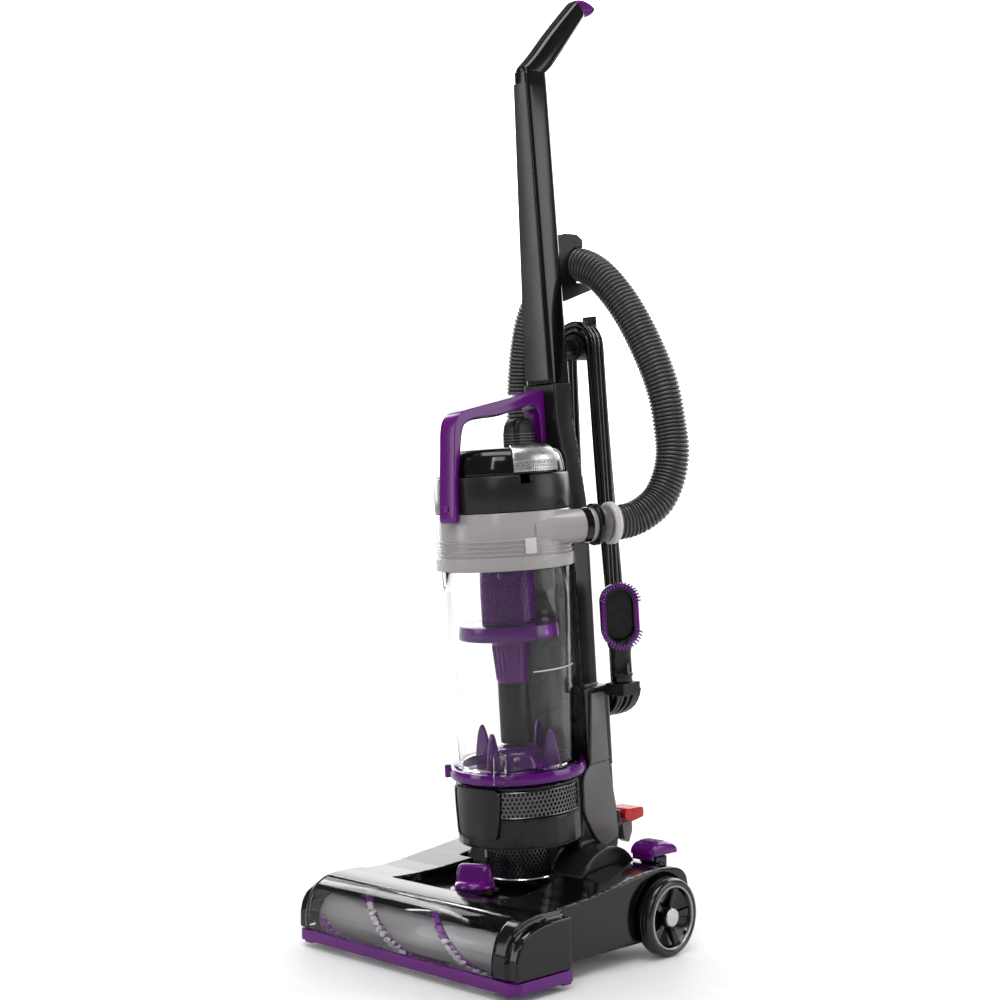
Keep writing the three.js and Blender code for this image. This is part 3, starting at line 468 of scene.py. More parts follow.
def fuse(made, *shapes, place=BODY):
    for shape in shapes:
        tool = mesh_object("tool", [shape], place)
        apply(made, "BOOLEAN", operation="UNION", object=tool, solver="EXACT")
        bpy.data.objects.remove(tool)
    return made


def softened(made, voxel, rounds):
    """Remade with even faces and its edges eased, as a moulding's are."""
    apply(made, "REMESH", mode="VOXEL", voxel_size=voxel * MM, use_smooth_shade=True)
    apply(made, "SMOOTH", factor=0.5, iterations=rounds)
    return made


def finished(made, body, nodes, look, bevel=0.0, segments=3, angle=32):
    """Eases the edges, smooths the shading, and sets the material, the body and the CAD nodes stood for."""
    if bevel:
        apply(made, "BEVEL", width=bevel * MM, segments=segments, limit_method="ANGLE",
              angle_limit=math.radians(angle), use_clamp_overlap=True, harden_normals=False)
    for face in made.data.polygons:
        face.use_smooth = True
    made.data.set_sharp_from_angle(angle=math.radians(angle + 6))
    made.data.materials.clear()
    made.data.materials.append(LOOKS[look])
    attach(made, body)
    if nodes:
        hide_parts(*nodes)
    return made


def piece(name, shapes, place, body, nodes, look, bevel=0.0, segments=3, angle=32):
    return finished(mesh_object(name, shapes, place), body, nodes, look, bevel, segments, angle)


def from_cad(node, look, bevel=0.6, body=None, voxel=0.0, rounds=6, name=None, angle=32):
    """A finer piece made from the CAD node's own solid."""
    made = bpy.data.objects.new(name or node + "_fine", NODES[node].data.copy())
    bpy.context.scene.collection.objects.link(made)
    work = bmesh.new()
    work.from_mesh(made.data)
    bmesh.ops.remove_doubles(work, verts=work.verts, dist=1e-5)
    bmesh.ops.dissolve_limit(work, angle_limit=math.radians(1), verts=work.verts, edges=work.edges)
    work.to_mesh(made.data)
    work.free()
    if voxel:
        softened(made, voxel, rounds)
        bevel = 0
    home = body or NODES[node]["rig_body"]
    return finished(made, home, [node], look, bevel, 3, angle)


# ---------------------------------------------------------------- camera, light and floor


def studio():
    camera = bpy.data.objects.new("camera", bpy.data.cameras.new("camera"))
    camera.data.lens = 58.01
    camera.data.sensor_width = 36
    camera.location = (1.28476, -1.32725, 0.45839)
    camera.rotation_euler = (math.radians(91.43), 0, math.radians(44.64))
    bpy.context.scene.collection.objects.link(camera)
    bpy.context.scene.camera = camera

    floor_shader = Shader("floor")
    fleck = floor_shader.ramp(floor_shader.noise(30, 5), 0, 1)
    floor_shader.link(floor_shader.mixed(fleck, (0.64, 0.64, 0.64), (0.66, 0.66, 0.66)),
                      floor_shader.main.inputs["Base Color"])
    # The cove is given a painted glow (emission) in place of studio light on the paper: faint in front,
    # brighter towards its back wall and up the sweep.
    split = floor_shader.add("ShaderNodeSeparateXYZ")
    floor_shader.link(floor_shader.place, split.inputs["Vector"])
    far = floor_shader.ramp(split.outputs["Y"], 0.03, 0.6, 0.2, 4.0)
    high = floor_shader.ramp(split.outputs["Z"], 0.0, 1.8, 0.35, 1.6)
    painted_backdrop_glow = floor_shader.maths("ADD", far, high)
    floor_shader.link(painted_backdrop_glow, floor_shader.main.inputs["Emission Strength"])
    floor_shader.set(Roughness=0.6, Emission_Color=(1, 1, 1, 1))
    half, rise, bend = 7.0, 5.0, 2.2
    cove = [(-half, 0.0), (half - bend, 0.0)]
    cove += [(half - bend + bend * math.sin(a), bend - bend * math.cos(a))
             for a in [math.radians(d) for d in range(6, 91, 6)]]
    cove += [(half, rise)]
    mesh = bpy.data.meshes.new("floor")
    verts = [(x, y, z) for y, z in cove for x in (-half, half)]
    mesh.from_pydata(verts, [], [(2 * i, 2 * i + 1, 2 * i + 3, 2 * i + 2) for i in range(len(cove) - 1)])
    floor = bpy.data.objects.new("floor", mesh)
    for face in mesh.polygons:
        face.use_smooth = True
    floor.rotation_euler = (0, 0, math.radians(44.64))
    mesh.materials.append(floor_shader.material)
    bpy.context.scene.collection.objects.link(floor)

    world = bpy.data.worlds.new("world")
    world.use_nodes = True
    world.node_tree.nodes["Background"].inputs["Color"].default_value = (1, 1, 1, 1)
    world.node_tree.nodes["Background"].inputs["Strength"].default_value = 0.22
    bpy.context.scene.world = world
    bpy.context.scene.view_settings.view_transform = "Standard"

    target = Vector((0, 0, 0.5))
    lamps = [
        ("key", (1.9, 1.25, 0.9), (1.3, 1.5), 19),
        ("fill", (-1.25, -2.05, 1.2), (0.8, 2.2), 19),
        ("strip", (1.5, -2.6, 1.9), (0.12, 2.0), 12),
        ("front", (1.9, -2.3, 2.8), (1.2, 0.9), 20),
        ("top", (0.3, -0.5, 3.2), (2.0, 1.6), 60),
        ("rim", (0.2, 2.4, 1.9), (1.4, 1.6), 36),
        ("left", (-2.4, 0.4, 1.5), (0.7, 2.6), 34),
    ]
    for name, place, size, power in lamps:
        lamp = bpy.data.objects.new(name, bpy.data.lights.new(name, "AREA"))
        lamp.data.shape = "RECTANGLE"
        lamp.data.size, lamp.data.size_y = size
        lamp.data.energy = power
        lamp.location = place
        lamp.rotation_euler = (target - Vector(place)).to_track_quat("-Z", "Y").to_euler()
        bpy.context.scene.collection.objects.link(lamp)


studio()

# ---------------------------------------------------------------- hose and cord

# Points along the hose's centre line, from the port, over the hook and down behind the left side.
HOSE_ROUTE = [
    (94, 24.9, 478), (96.7, 32.4, 478), (102, 46, 480), (109, 60, 486), (117, 78, 500), (122, 92, 524),
    (123.5, 100, 552), (120, 103, 582), (113, 102, 628), (96, 100, 674), (72, 96, 722), (44, 91, 760),
    (17, 89, 779), (-9, 89, 782), (-34, 89, 772), (-59, 87, 747), (-82, 85, 702), (-93, 83, 640),
    (-96, 80, 560),
    (-95, 76, 470), (-90, 72, 380), (-80, 69, 300), (-67, 67, 240), (-60, 66, 200), (-60, 66, 178.5),
]


def evenly(points, step):
    """Points a step apart along a dense polyline, and its length."""
    made, carried, total = [points[0].copy()], 0.0, 0.0
    for a, b in zip(points, points[1:]):
        span = (b - a).length
        total += span
        at = step - carried
        while at <= span:
            made.append(a.lerp(b, at / span))
            at += step
        carried = span - (at - step)
    made.append(points[-1].copy())
    return made, total


def hose():
    """A ribbed stretch hose: a round bead every few millimetres, with a narrow root between the beads."""
    pitch, per_rib = 4.7, 6
    path, length = evenly(smooth([Vector(p) for p in HOSE_ROUTE], 24), pitch / per_rib)
    root = 0.845

    def size(i):
        phase = (i % per_rib) / per_rib
        return root + (1 - root) * math.sin(math.pi * phase) ** 0.7

    tube = swept(path, circle(HOSE_D / 2, 40), Vector((0, 0, 1)), size)
    made = piece("hose_ribbed", [tube], BODY, "body", ["hose"], "hose_rubber", angle=60)
    for face in made.data.polygons:
        face.use_smooth = True


hose()

HANK = {"top": 684, "bottom": 278, "v0": 78, "top_radius": 31.5, "bottom_radius": 40}
CORD_START = [(-15, 70.3, 172), (-15.2, 76, 172.3), (-16, 83, 174.5), (-17.5, 90, 179.2),
              (-19.5, 95.5, 186.3),
              (-22, 98.6, 195), (-25.5, 99.6, 206), (-30, 98.8, 220), (-34, 97.2, 240), (-36, 96, 260)]
PLUG = {"u": -44, "v": 94, "w": 560.5}


def hank_point(turn, layer, column):
    """A point on the hank's outline: turn is 0 at the left run's foot and grows by 1 a round, going up."""
    inset = CORD_D * (0.5 + layer)
    top, bottom = HANK["top_radius"] - inset, HANK["bottom_radius"] - inset
    run = HANK["top"] - HANK["bottom"]
    arcs = [run, math.pi * top, run, math.pi * bottom]
    at = (turn % 1) * sum(arcs)
    v = HANK["v0"] + CORD_D * (0.5 + column)
    if at < arcs[0]:
        t = at / run
        return Vector((-(bottom + (top - bottom) * t), v, HANK["bottom"] + run * t))
    at -= arcs[0]
    if at < arcs[1]:
        angle = math.pi - at / top
        return Vector((top * math.cos(angle), v, HANK["top"] + top * math.sin(angle)))
    at -= arcs[1]
    if at < arcs[2]:
        t = at / run
        return Vector((top + (bottom - top) * t, v, HANK["top"] - run * t))
    at -= arcs[2]
    angle = -at / bottom
    return Vector((bottom * math.cos(angle), v, HANK["bottom"] + bottom * math.sin(angle)))


def power_cord():
    """The cord from its strain relief, wound up and down over the two hooks, to its plug."""
    turns, per_turn = 7, 96
    # (layer, column), turn by turn
    strands = [(0, 2), (0, 1), (0, 0), (1, 0), (1, 1), (1, 2), (1, 3), (0, 3)]
    rng = random.Random(7)
    sway = [rng.uniform(-1, 1) for _ in range(2 * len(strands))]
    wound = []
    for i in range(turns * per_turn + 20):
        turn = i / per_turn
        k = int(turn)
        # crosses to the next strand on its way down and round the foot
        change = max(0.0, ((turn % 1) - 0.6) / 0.4)
        change = change * change * (3 - 2 * change)
        here, after = strands[k], strands[min(k + 1, len(strands) - 1)]
        layer = here[0] + (after[0] - here[0]) * change
        column = here[1] + (after[1] - here[1]) * change
        point = hank_point(turn, layer, column)
        middle = math.sin(math.pi * (point.z - HANK["bottom"]) / (HANK["top"] - HANK["bottom"]))
        point.x += 1.5 * max(0, middle) * sway[2 * k + (0 if point.x < 0 else 1)]
        wound.append(point)
    start = [Vector(p) for p in CORD_START]
    u, v, w = PLUG["u"], PLUG["v"], PLUG["w"]
    end = [Vector(p) for p in ((u + 7, v + 5, w - 38), (u + 2, v + 1.5, w - 20), (u, v, w - 8),
                               (u, v, w + 2))]
    path = smooth(start + wound + end, 5)
    dense, length = evenly(path, 4.0)
    tube = swept(dense, circle(CORD_D / 2, 14), Vector((0, 1, 0.1)))
    made = piece("power_cord_wound", [tube], BODY, "body", ["power_cord", "cord_hank"], "cord_rubber",
                 angle=60)
    return made, [BODY @ p for p in dense], length


cord, cord_path, cord_length = power_cord()


def plug():
    """A moulded mains plug with a ribbed grip, two flat blades and no markings."""
    shell = [[(x, y, z) for x, y in superellipse(a, b, 3.4, 24)] for a, b, z in
             ((4.2, 4.2, 560.5), (6.4, 5.6, 564), (8.4, 7.2, 570), (8.9, 7.9, 577), (8.9, 7.9, 584),
              (8.2, 7.2, 588),
              (7.4, 6.6, 589.5))]
    place = Matrix.Translation((PLUG["u"], PLUG["v"], 0))
    blades = [block((x, x + 1.6), (-3, 3), (589, 605.5)) for x in (-4, 2)]
    ribs = [moved(slab(superellipse(9.3, 8.2, 3.4, 24), z, z + 1.2), place) for z in (573, 576.5, 580)]
    body = piece("plug_shell", [moved(loft(shell), place), *ribs], BODY, "body", ["plug"], "cord_rubber",
                 bevel=0.3)
    prongs = piece("plug_blades", [moved(b, place) for b in blades], BODY, "body", [], "steel", bevel=0.25)
    prongs.parent = body
    return body


def strain_relief():
    """A tapered sleeve cut into rings, the shape of one that bends with the cord."""
    rings = []
    for i in range(33):
        t = i / 32
        radius = 6.9 - 2.7 * t - (0.7 if i % 4 == 2 and 2 < i < 30 else 0)
        rings.append([(-15 + radius * math.cos(a), 42.4 + 26.8 * t, 172 + radius * math.sin(a))
                      for a in [2 * math.pi * k / 28 for k in range(28)]])
    return piece("strain_relief_sleeve", [loft(rings)], BODY, "body", ["strain_relief"], "cord_rubber",
                 angle=50)


plug_piece = plug()
relief_piece = strain_relief()

# ---------------------------------------------------------------- handle

HANDLE = {"low": 641.3, "high": 1003, "half_low": 21.5, "half_high": 11.5, "front": 12, "depth": 36}


def handle_half(w):
    t = (w - HANDLE["low"]) / (HANDLE["high"] - HANDLE["low"])
    return HANDLE["half_low"] + (HANDLE["half_high"] - HANDLE["half_low"]) * t


def handle():
    middle = HANDLE["front"] + HANDLE["depth"] / 2
    heights = [HANDLE["low"] + (HANDLE["high"] - HANDLE["low"]) * i / 20 for i in range(21)]
    rings = [[(a, middle + b, w) for a, b in superellipse(handle_half(w), HANDLE["depth"] / 2, 5.5, 48)]
             for w in heights]
    piece("handle_shell", [loft(rings)], BODY, "body", ["handle_tube"], "gloss_black", bevel=0.6, angle=50)

    low, high = HANDLE["low"] + 4, HANDLE["high"] - 14
    strip = []
    for i in range(21):
        w = low + (high - low) * i / 20
        half = handle_half(w) - 2.7
        strip.append([(half * x, HANDLE["front"] - 0.3 - depth, w)
                      for x, depth in ((-1, 0), (-0.97, 1.5), (-0.6, 2.0), (0, 2.1), (0.6, 2.0), (0.97, 1.5),
                                       (1, 0))])
    piece("handle_front_strip", [loft(strip)], BODY, "body", ["handle_strip"], "strip_grey",
          angle=50)


def bent_bar(stations, half, power, count=40):
    """A bar through stations, each a pair of (v, w) points on its front and back edges."""
    rings = []
    for (fv, fw), (bv, bw) in stations:
        middle = Vector(((fv + bv) / 2, (fw + bw) / 2))
        reach = Vector((bv - fv, bw - fw)) / 2
        rings.append([(a, middle.x + reach.x * b, middle.y + reach.y * b) for a,
                      b in superellipse(half, 1, power, count)])
    return loft(rings)


def grip():
    front = smooth([(12.3, 1003.3), (13.6, 1008), (21, 1014.6), (36, 1028), (60, 1052), (84, 1074.5),
                    (107.8, 1096)], 6)
    back = smooth([(48.2, 1003.3), (53.6, 1007), (61, 1013), (71, 1023), (85, 1037.5), (103, 1057),
                   (122.3, 1078.3)], 6)
    piece("handle_grip_shell", [bent_bar(list(zip(front, back)), 11.4, 3.6)], BODY, "body", ["handle_grip"],
          "gloss_black", bevel=0.6, angle=50)
    front = smooth([(108.2, 1096.4), (113, 1099.2), (121, 1100), (129, 1098.6), (135, 1095.6),
                    (138.6, 1091.6)], 5)
    back = smooth([(122.7, 1078.7), (127.6, 1080.2), (132.6, 1082), (136.2, 1084), (138.4, 1086.6),
                   (139.2, 1089.6)], 5)
    piece("grip_end_cap", [bent_bar(list(zip(front, back)), 11.6, 3.4)], BODY, "body", ["grip_cap"], "purple",
          bevel=0.5, angle=50)


handle()
grip()

# ---------------------------------------------------------------- spine, hooks and tool

from_cad("spine", "satin_grey", voxel=1.5, rounds=8)
from_cad("hose_hook", "matt_black", voxel=0.7, rounds=5)
from_cad("lower_cord_hook", "matt_black", voxel=1.0, rounds=5)
from_cad("upper_cord_hook", "matt_black", voxel=0.7, rounds=4)
from_cad("tool_holder", "matt_black", voxel=0.8, rounds=5)
from_cad("hose_port", "gloss_black", voxel=0.6, rounds=4)


def hose_cuff():
    """A pale swivel cuff: a plain ring and a knurled ring."""
    end = SPOUT["end"]
    near = [(16.6, end + 6.4), (19.2, end + 6.4), (19.9, end + 7.2), (19.9, end + 19), (19.3, end + 19.8),
            (16.6, end + 19.8)]
    far = [(16.6, end + 20), (22.6, end + 20), (23.4, end + 20.8), (23.4, end + 27.6), (22.6, end + 28.5),
           (16.6, end + 28.5)]
    piece("hose_cuff_neck", [on_spout(turned(near, (0, 0)))], BODY, "body", ["hose_cuff"], "light_grey",
          angle=50)
    piece("hose_cuff_ring", [on_spout(turned(far, (0, 0)))], BODY, "body", [], "pale_grey",
          angle=50)
    ribs = [on_spout(spin(block((22.9, 24.0), (-0.5, 0.5), (end + 21.2, end + 27.4)), 10 * i, (0, 0)))
            for i in range(36)]
    piece("hose_cuff_knurl", ribs, BODY, "body", [], "pale_grey", bevel=0.15)


hose_cuff()

TOOL = {"u": 79, "v": 41, "w": 371, "facing": math.radians(-40)}


def stadium(half_a, half_b, count=48):
    """A round-ended outline, taller than it is wide."""
    made = []
    straight = half_b - half_a
    for i in range(count):
        angle = 2 * math.pi * (i + 0.5) / count
        y = half_a * math.sin(angle)
        made.append((half_a * math.cos(angle), y + (straight if y > 0 else -straight)))
    return made


def dusting_brush():
    """A hand tool: a round-ended head on a pipe, with a ring of purple bristles round its mouth."""
    ahead = Vector((math.cos(TOOL["facing"]), math.sin(TOOL["facing"]), 0))
    up = Vector((0, 0, 1))
    rows = Matrix((up.cross(ahead), up, ahead)).transposed().to_4x4()
    face_on = Matrix.Translation((TOOL["u"], TOOL["v"], TOOL["w"])) @ rows

    shell = []
    for z, grow in ((-12, -9), (-11, -5.6), (-8, -2.4), (-3, -0.6), (3, 0), (10, 0), (11.6, -0.6),
                    (12, -1.6)):
        shell.append([(x, y, z) for x, y in stadium(22 + grow, 37 + grow)])
    head = mesh_object("dusting_brush_head", [moved(loft(shell), face_on)], BODY)
    hollow = moved(loft([[(x, y, z) for x, y in stadium(15.5, 29)] for z in (2, 14)]), face_on)
    carve(head, hollow)
    neck = []
    for w, radius in ((293.6, 11.4), (294.2, 12), (300, 12), (300.4, 12.8), (304, 12.8), (304.4, 12),
                      (326, 12),
                      (331, 12.8), (336, 14.5), (341, 15.5)):
        neck.append([(TOOL["u"] + radius * math.cos(a), TOOL["v"] + radius * math.sin(a), w)
                     for a in [2 * math.pi * k / 40 for k in range(40)]])
    pipe = mesh_object("dusting_brush_neck", [loft(neck)], BODY)
    bore = [[(TOOL["u"] + 8 * math.cos(a), TOOL["v"] + 8 * math.sin(a), w)
             for a in [2 * math.pi * k / 40 for k in range(40)]] for w in (290, 330)]
    carve(pipe, loft(bore))
    finished(head, "tool", ["dusting_brush"], "gloss_black", bevel=0.5, angle=40)
    finished(pipe, "tool", [], "gloss_black", bevel=0.3, angle=40)

    tufts = []
    rng = random.Random(3)
    for row, (reach, count) in enumerate(((2.0, 36), (4.6, 32))):
        ring = stadium(22 - reach, 37 - reach, count * 4)
        for i in range(count):
            x, y = ring[i * 4 + 2 * row]
            lean_x, lean_y = x * 0.15 + rng.uniform(-0.4, 0.4), y * 0.09 + rng.uniform(-0.4, 0.4)
            tall = 19.6 + rng.uniform(-1.2, 0.2)
            rings = [[(x + lean_x * t + r * math.cos(a), y + lean_y * t + r * math.sin(a), z)
                      for a in [math.pi * k / 3 for k in range(6)]]
                     for t, z, r in ((0, 10.5, 1.1), (0.5, (10.5 + tall) / 2, 1.05), (1, tall, 0.95))]
            tufts.append(moved(loft(rings), face_on))
    piece("dusting_brush_tufts", tufts, BODY, "tool", [], "bristle", angle=60)
    seat = []
    for z, grow in ((10.4, -0.4), (12.6, -0.2), (13.4, -1.0), (13.4, -5.4), (10.4, -5.8)):
        seat.append([(x, y, z) for x, y in stadium(22 + grow, 37 + grow)])
    piece("dusting_brush_seat", [moved(loft(seat, closed=True), face_on)], BODY, "tool", [], "purple",
          angle=50)
    back = moved(loft([[(x, y, z) for x, y in stadium(15.2 + g, 28.6 + g)] for z,
                       g in ((2.3, 0), (3.2, -0.4))]), face_on)
    piece("dusting_brush_floor", [back], BODY, "tool", [], "matt_black", angle=50)


dusting_brush()

# ---------------------------------------------------------------- lid


TAB_TURN = -24  # where the notch in the lid and the tab on the collar line up


def lid():
    ring = [(70.5, 499.5), (76.2, 499.5), (77, 500.6), (77.2, 520), (76.6, 537.6), (75.6, 539.6),
            (70.5, 539.6)]
    band = mesh_object("lid_band", [turned(ring, sides=128)], BODY)
    notch = at_tank(block((60, 90), (-7, 7), (529.5, 545)), TAB_TURN)
    carve(band, notch)
    finished(band, "tank", ["lid_ring"], "satin_grey", bevel=0.5, angle=45)

    dome = [(0, 571.4), (30, 571.2), (50, 570.4), (60, 568.8), (66.5, 565.6), (70.2, 560), (72, 552),
            (73.4, 543),
            (73.2, 540.6), (66.4, 540.6), (64, 560), (55, 564.5), (0, 566.6)]
    top = mesh_object("lid_dome", [turned(dome, sides=128)], BODY)
    carve(top, block((-14.3, 14.3), (-42.3, -7.7), (550, 580)))
    finished(top, "tank", ["lid_cap"], "gloss_black", bevel=0.4, angle=40)

    # A bright grip stands on the right of the lid, plain above and finely ridged below.
    over = [(73.6, 542.6), (75.4, 542.6), (75.2, 549), (74.2, 554), (74.8, 554.8), (73.6, 561), (69.8, 567.4),
            (64, 571), (58, 572.6), (58, 570.6), (66, 567), (71, 560), (72.6, 552)]
    rings = []
    for i in range(25):
        turn = math.radians(-34 + 46 * i / 24)
        rings.append([(r * math.cos(turn), TANK_V + r * math.sin(turn), w) for r, w in over])
    piece("lid_grip", [loft(rings)], BODY, "tank", [], "steel", bevel=0.4, angle=40)
    ridges = []
    for i in range(27):
        for low, high in ((543.2, 546.4), (546.9, 550.1), (550.6, 553.6)):
            shape = block((74.6, 76.0), (-0.55, 0.55), (low, high))
            ridges.append(at_tank(shape, -33 + 44 * i / 26))
    piece("lid_grip_ridges", ridges, BODY, "tank", [], "steel", bevel=0.2)


def carry_handle():
    outer = smooth([(-137.8, 492), (-145.8, 493), (-143.5, 528), (-140.2, 566), (-137.2, 594), (-131, 606.5),
                    (-119, 613.5),
                    (-96, 618), (-50, 625.5), (-5, 633.2), (4, 632.8), (8.6, 628), (9.3, 616), (9.3, 573.4)],
                    6)
    inner = smooth([(1.0, 573.4), (0.3, 596), (-1.4, 607), (-7, 614.5), (-18, 616.6), (-40, 613),
                    (-66, 607.6),
                    (-97, 605.4), (-113, 603), (-122.4, 596.5), (-127, 585), (-131.6, 561), (-135.6, 542),
                    (-137.6, 512)], 6)
    piece("carry_handle_bow", [across(outer + inner, -11.9, 11.9)], BODY, "tank", ["carry_handle"], "purple",
          bevel=3.4, segments=5, angle=40)
    liner = smooth([(-20, 615.9), (-40, 612.4), (-66, 607), (-97, 604.8), (-112, 602.3), (-121, 596.0),
                    (-126, 584.5)], 6)
    under = [(v + 0.1, w - 1.5) for v, w in reversed(liner)]
    piece("carry_handle_liner", [across(liner + [Vector(p) for p in under], -7.5, 7.5)], BODY, "tank", [],
          "matt_black",
          bevel=0.5)
    dimple = [(0.02, -0.9), (3.2, -0.9), (3.6, -0.4), (3.6, 0.4), (3.0, 0.9), (0.02, 0.9)]
    turn = Matrix.Translation((0, -145.9, 506)) @ Matrix.Rotation(math.pi / 2, 4, "X")
    piece("carry_handle_catch", [moved(turned(dimple, (0, 0), 32), turn)], BODY, "tank", [], "purple",
          angle=40)


def release_button():
    rings = []
    for w, a, b, shift in ((557.5, 13.6, 16.6, 0), (585, 13.2, 16.2, 0), (594, 12.6, 15.4, 0.6),
                           (599.5, 11.2, 13.6, 1.4),
                           (602, 8.6, 10.6, 2.2)):
        rings.append([(x, -25 + shift + y, w) for x, y in superellipse(a, b, 4.5, 40)])
    piece("release_button_cap", [loft(rings)], BODY, "button", ["release_button"], "matt_black", bevel=0.6,
          angle=50)
    grooves = [slab(superellipse(13.75, 16.7, 4.5, 40), w, w + 1.1) for w in (573.5, 577, 580.5, 584)]
    piece("release_button_ribs", [moved(g, Matrix.Translation((0, -25, 0))) for g in grooves], BODY, "button",
          [],
          "light_grey", bevel=0.3, angle=50)


lid()
carry_handle()
release_button()

# ---------------------------------------------------------------- tank


def collar():
    profile = [(74.2, 435.3), (78.2, 435.3), (79, 436.2), (79, 449.2)]
    for w in (452.5, 457.5, 462.5, 467.5):
        profile += [(77.2, w - 2), (77.2, w - 0.6), (78.5, w), (78.5, w + 1.2), (77.2, w + 1.8)]
    profile += [(77.1, 473), (77.1, 497.4), (76.4, 498.8), (33, 498.8), (33, 496.3), (73.6, 496.3),
                (74.2, 495)]
    wall = mesh_object("inlet_collar_wall", [turned(profile, sides=128)], BODY)
    carve(wall, on_spout(turned([(0, 4), (17.6, 4), (17.6, 90), (0, 90)], (0, 0), 48)))
    finished(wall, "tank", ["inlet_collar"], "smoke", angle=40)

    end = SPOUT["end"]
    tube = [(16.5, 2), (18.9, 2), (18.9, end - 6), (19.3, end - 5.6), (19.3, end - 0.6), (18.8, end),
            (16.5, end)]
    spout = mesh_object("inlet_spout", [on_spout(turned(tube, (0, 0), 72))], BODY)
    carve(spout, turned([(0, 400), (74.3, 400), (74.3, 495.9), (0, 495.9)], sides=128))
    finished(spout, "tank", [], "smoke", angle=40)
    band = [(19.1, end - 15), (20.2, end - 14.6), (20.2, end - 6.6), (19.1, end - 6.2)]
    piece("inlet_spout_seal", [on_spout(turned(band, (0, 0), 72))], BODY, "tank", [], "gloss_black", angle=40)
    tab = at_tank(block((77.0, 79.2), (-6.5, 6.5), (453, 470)), TAB_TURN)
    piece("inlet_collar_tab", [tab], BODY, "tank", [], "pale_grey", bevel=0.6)


def cup_radius(w, outer=True):
    t = (w - CUP["low"]) / (CUP["high"] - CUP["low"])
    return CUP["radius_low"] + (CUP["radius_high"] - CUP["radius_low"]) * t - (0 if outer else CUP["wall"])


def cup():
    low, high = CUP["low"], CUP["high"]
    profile = [(cup_radius(low, False), low + 0.2), (CUP["radius_low"] + 4.6, low + 0.2),
               (CUP["radius_low"] + 5, low + 0.8),
               (CUP["radius_low"] + 4.8, low + 2), (cup_radius(low + 5) + 0.4, low + 3.4)]
    profile += [(cup_radius(w), w) for w in (low + 6, 260, 310, 360, 410, high - 1)]
    profile += [(cup_radius(high) - 0.6, high), (cup_radius(high, False) + 0.5, high)]
    profile += [(cup_radius(w, False), w) for w in (high - 1, 410, 360, 310, 260, low + 6)]
    piece("dirt_cup_wall", [turned(profile, sides=144)], BODY, "tank", ["dirt_cup"], "clear", angle=30)

    # The full line is a thin pale stripe part of the way round.
    rings = []
    for i in range(41):
        angle = math.radians(-26 + 60 * i / 40)
        w = 322
        rings.append([((cup_radius(w) + r) * math.cos(angle), TANK_V + (cup_radius(w) + r) * math.sin(angle),
                       w + h)
                      for r, h in ((0.05, -0.7), (0.3, -0.7), (0.3, 0.7), (0.05, 0.7))])
    piece("dirt_cup_full_line", [loft(rings)], BODY, "tank", [], "pale_grey", angle=50)


def cup_door():
    pan = [(0, 198.2), (74, 198.2), (76.6, 198.8), (77.5, 200), (77.5, 209.4), (76.8, 210.8), (75.4, 211),
           (72.6, 211),
           (71.8, 210), (71.6, 204.2), (60, 203.4), (37, 204.2), (34.5, 207), (33, 214), (29.5, 222),
           (24, 228), (15, 231.3),
           (0, 232)]
    piece("cup_door_pan", [turned(pan, sides=128)], BODY, "tank", ["cup_door"], "purple_clear", angle=30)
    fins = []
    for turn in (10, 100, 190, 280):
        outline = smooth([(36, 203.4), (37.5, 218), (40, 235), (44, 248), (48, 251), (53, 240), (57.5, 216),
                          (58, 203.4)], 5)
        fins.append(at_tank(across(outline, -2.2, 2.2), turn))
    piece("cup_door_fins", fins, BODY, "tank", [], "purple_clear", bevel=0.9, angle=40)
    rim = [(76.2, 201.6), (78.3, 201.6), (78.6, 202.4), (78.6, 207), (78.3, 207.8), (76.2, 207.8)]
    piece("cup_door_bead", [turned(rim, sides=128)], BODY, "tank", [], "purple", angle=40)
    tab = at_tank(block((76, 83.4), (-6, 6), (198.6, 213)), -135)
    piece("cup_door_tab", [tab], BODY, "tank", [], "purple", bevel=1.4)


def door_latch():
    lever = [(-83.2, 200.4), (-78.4, 200.4), (-78.2, 211), (-75, 216), (-74.4, 235.6), (-76.8, 235.6),
             (-83.2, 212)]
    shape = at_tank(across(rounded(lever, 1.6), -6.9, 6.9), 30)
    piece("door_latch_lever", [shape], BODY, "latch", ["door_latch"], "clear", bevel=0.7, angle=40)


